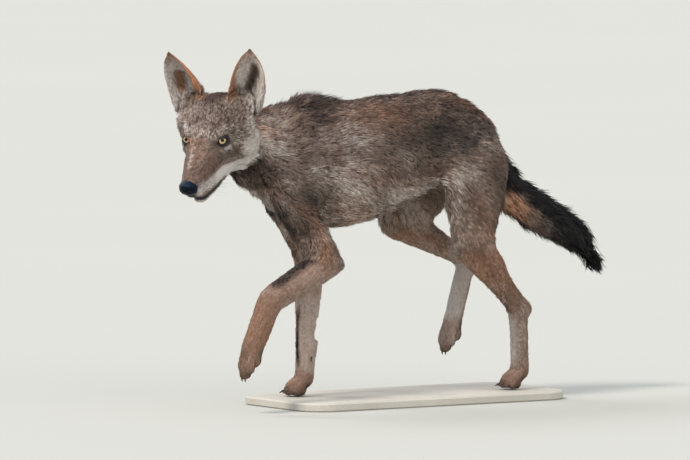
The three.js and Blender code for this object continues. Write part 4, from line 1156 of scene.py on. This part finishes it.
def makeWhiskers():
    chance = np.random.default_rng(5)
    corners, faces = [], []
    tree = BVHTree.FromPolygons([Vector(p) for p in places], faceCorners.tolist())
    for s, row, n in np.ndindex(2, whiskerSizes["rows"], whiskerSizes["inRow"]):
        s = 1 - 2 * s
        spot = faceMiddle + headWay(86 - 11 * n - 3 * (row % 2), s * 34, -60 - 6.5 * row) * mm
        root, normal = tree.find_nearest(spot)[:2]
        way = headWay(-0.25 - 0.3 * n, s * 1.0, -0.25 - 0.12 * row) + normal * 0.4
        way = (way + Vector(chance.normal(0, 0.09, 3))).normalized()
        long = whiskerSizes["long"] * (0.45 + 0.25 * n / 3 + 0.3 * chance.random()) * mm
        droop = headWay(-0.6, 0, -0.35)
        side = way.cross(upward).normalized()
        rings = []
        for t in np.linspace(0, 1, whiskerSizes["steps"]).tolist():
            centre = root + way * (long * t - 0.001) + droop * (long * 0.32 * t * t)
            thick = whiskerSizes["thick"] * (1 - 0.85 * t) * mm
            rings.append(ringAt(centre, side * thick, way.cross(side) * thick, whiskerSizes["sides"]))
        faces += tubeOf(rings, len(corners))
        corners += sum(rings, [])
    return outwardMesh("whiskers", corners, faces)


whiskerColours = [(0.0, (0.012, 0.010, 0.009)), (1.0, (0.06, 0.05, 0.042))]
whiskerMaterial = tonedMaterial("whiskerHair", 60.0, 2.0, whiskerColours, 0.45)
newPiece("whiskers", makeWhiskers(), whiskerMaterial)
print("nose, claws and whiskers made")

# Base
baseSizes = {"edge": 0.003, "speckle": 340.0, "colours": ((0.36, 0.34, 0.29), (0.50, 0.475, 0.42))}
baseMaterial, n = newMaterial("baseStone")
grains = n.noise(baseSizes["speckle"], 5.0)
tone = n.mulAdd(n.noise(9.0, 3.0), 0.5, n.mul(grains, 0.5))
n.shade(n.ramp(tone, *zip((0.3, 0.7), baseSizes["colours"])), 0.7, normal=n.bump(grains, 0.2, 0.0006))
base = newPiece("displayBase", joinedNodes(["stand_base"])[0], baseMaterial, smooth=False)
modify(base, "BEVEL", width=baseSizes["edge"], segments=3, limit_method="ANGLE", angle_limit=math.radians(50))
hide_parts("stand_base")

# Floor, light and camera
stageSizes = {
    "floor": 90,
    "floorColour": (0.40, 0.405, 0.375),
    "azimuth": 57,
    "elevation": 4,
    "distance": 28,
    "lookAt": (0.0046, -0.1530, 0.3682),
    "lens": 695.6,
    "sky": (0.93, 0.95, 1.0, 1),
    "skyStrength": 0.85,
}
suns = {  # azimuth, elevation, strength, width in degrees and colour
    "key": (12, 50, 2.6, 14, (1.0, 0.95, 0.88)),
    "rim": (-60, 45, 1.2, 25, (0.95, 0.97, 1.0)),
    "fill": (95, 25, 1.0, 60, (1.0, 0.96, 0.92)),
}
floorColours = [(0.0, stageSizes["floorColour"]), (1.0, [c * 1.04 for c in stageSizes["floorColour"]])]
floor = newObject("floor", simpleMesh("floor", bmesh.ops.create_grid, x_segments=1, y_segments=1,
                                      size=stageSizes["floor"]))
floor.data.materials.append(tonedMaterial("paleFloor", 0.8, 2.0, floorColours, 0.9))


def wayTo(azimuth, elevation):
    a, e = math.radians(azimuth), math.radians(elevation)
    return Vector((math.sin(a) * math.cos(e), -math.cos(a) * math.cos(e), math.sin(e)))


def facingBack(name, data, way):
    # a lamp or a camera that looks back along the way
    piece = newObject(name, data)
    piece.rotation_mode = "QUATERNION"
    piece.rotation_quaternion = way.to_track_quat("Z", "Y")
    return piece


for name, (azimuth, elevation, strength, width, colour) in suns.items():
    light = bpy.data.lights.new(name, "SUN")
    light.energy, light.angle, light.color = strength, math.radians(width), colour
    facingBack(name, light, wayTo(azimuth, elevation))
world = bpy.data.worlds.new("studio")
world.use_nodes = True
background = world.node_tree.nodes["Background"].inputs
background["Color"].default_value = stageSizes["sky"]
background["Strength"].default_value = stageSizes["skyStrength"]
scene.world = world
scene.view_settings.view_transform = "Standard"

way = wayTo(stageSizes["azimuth"], stageSizes["elevation"])
camera = facingBack("camera", bpy.data.cameras.new("camera"), way)
camera.data.lens = stageSizes["lens"]
camera.data.sensor_width = 36
camera.data.clip_end = 500
camera.location = Vector(stageSizes["lookAt"]) + way * stageSizes["distance"]
scene.camera = camera
print("stage set")
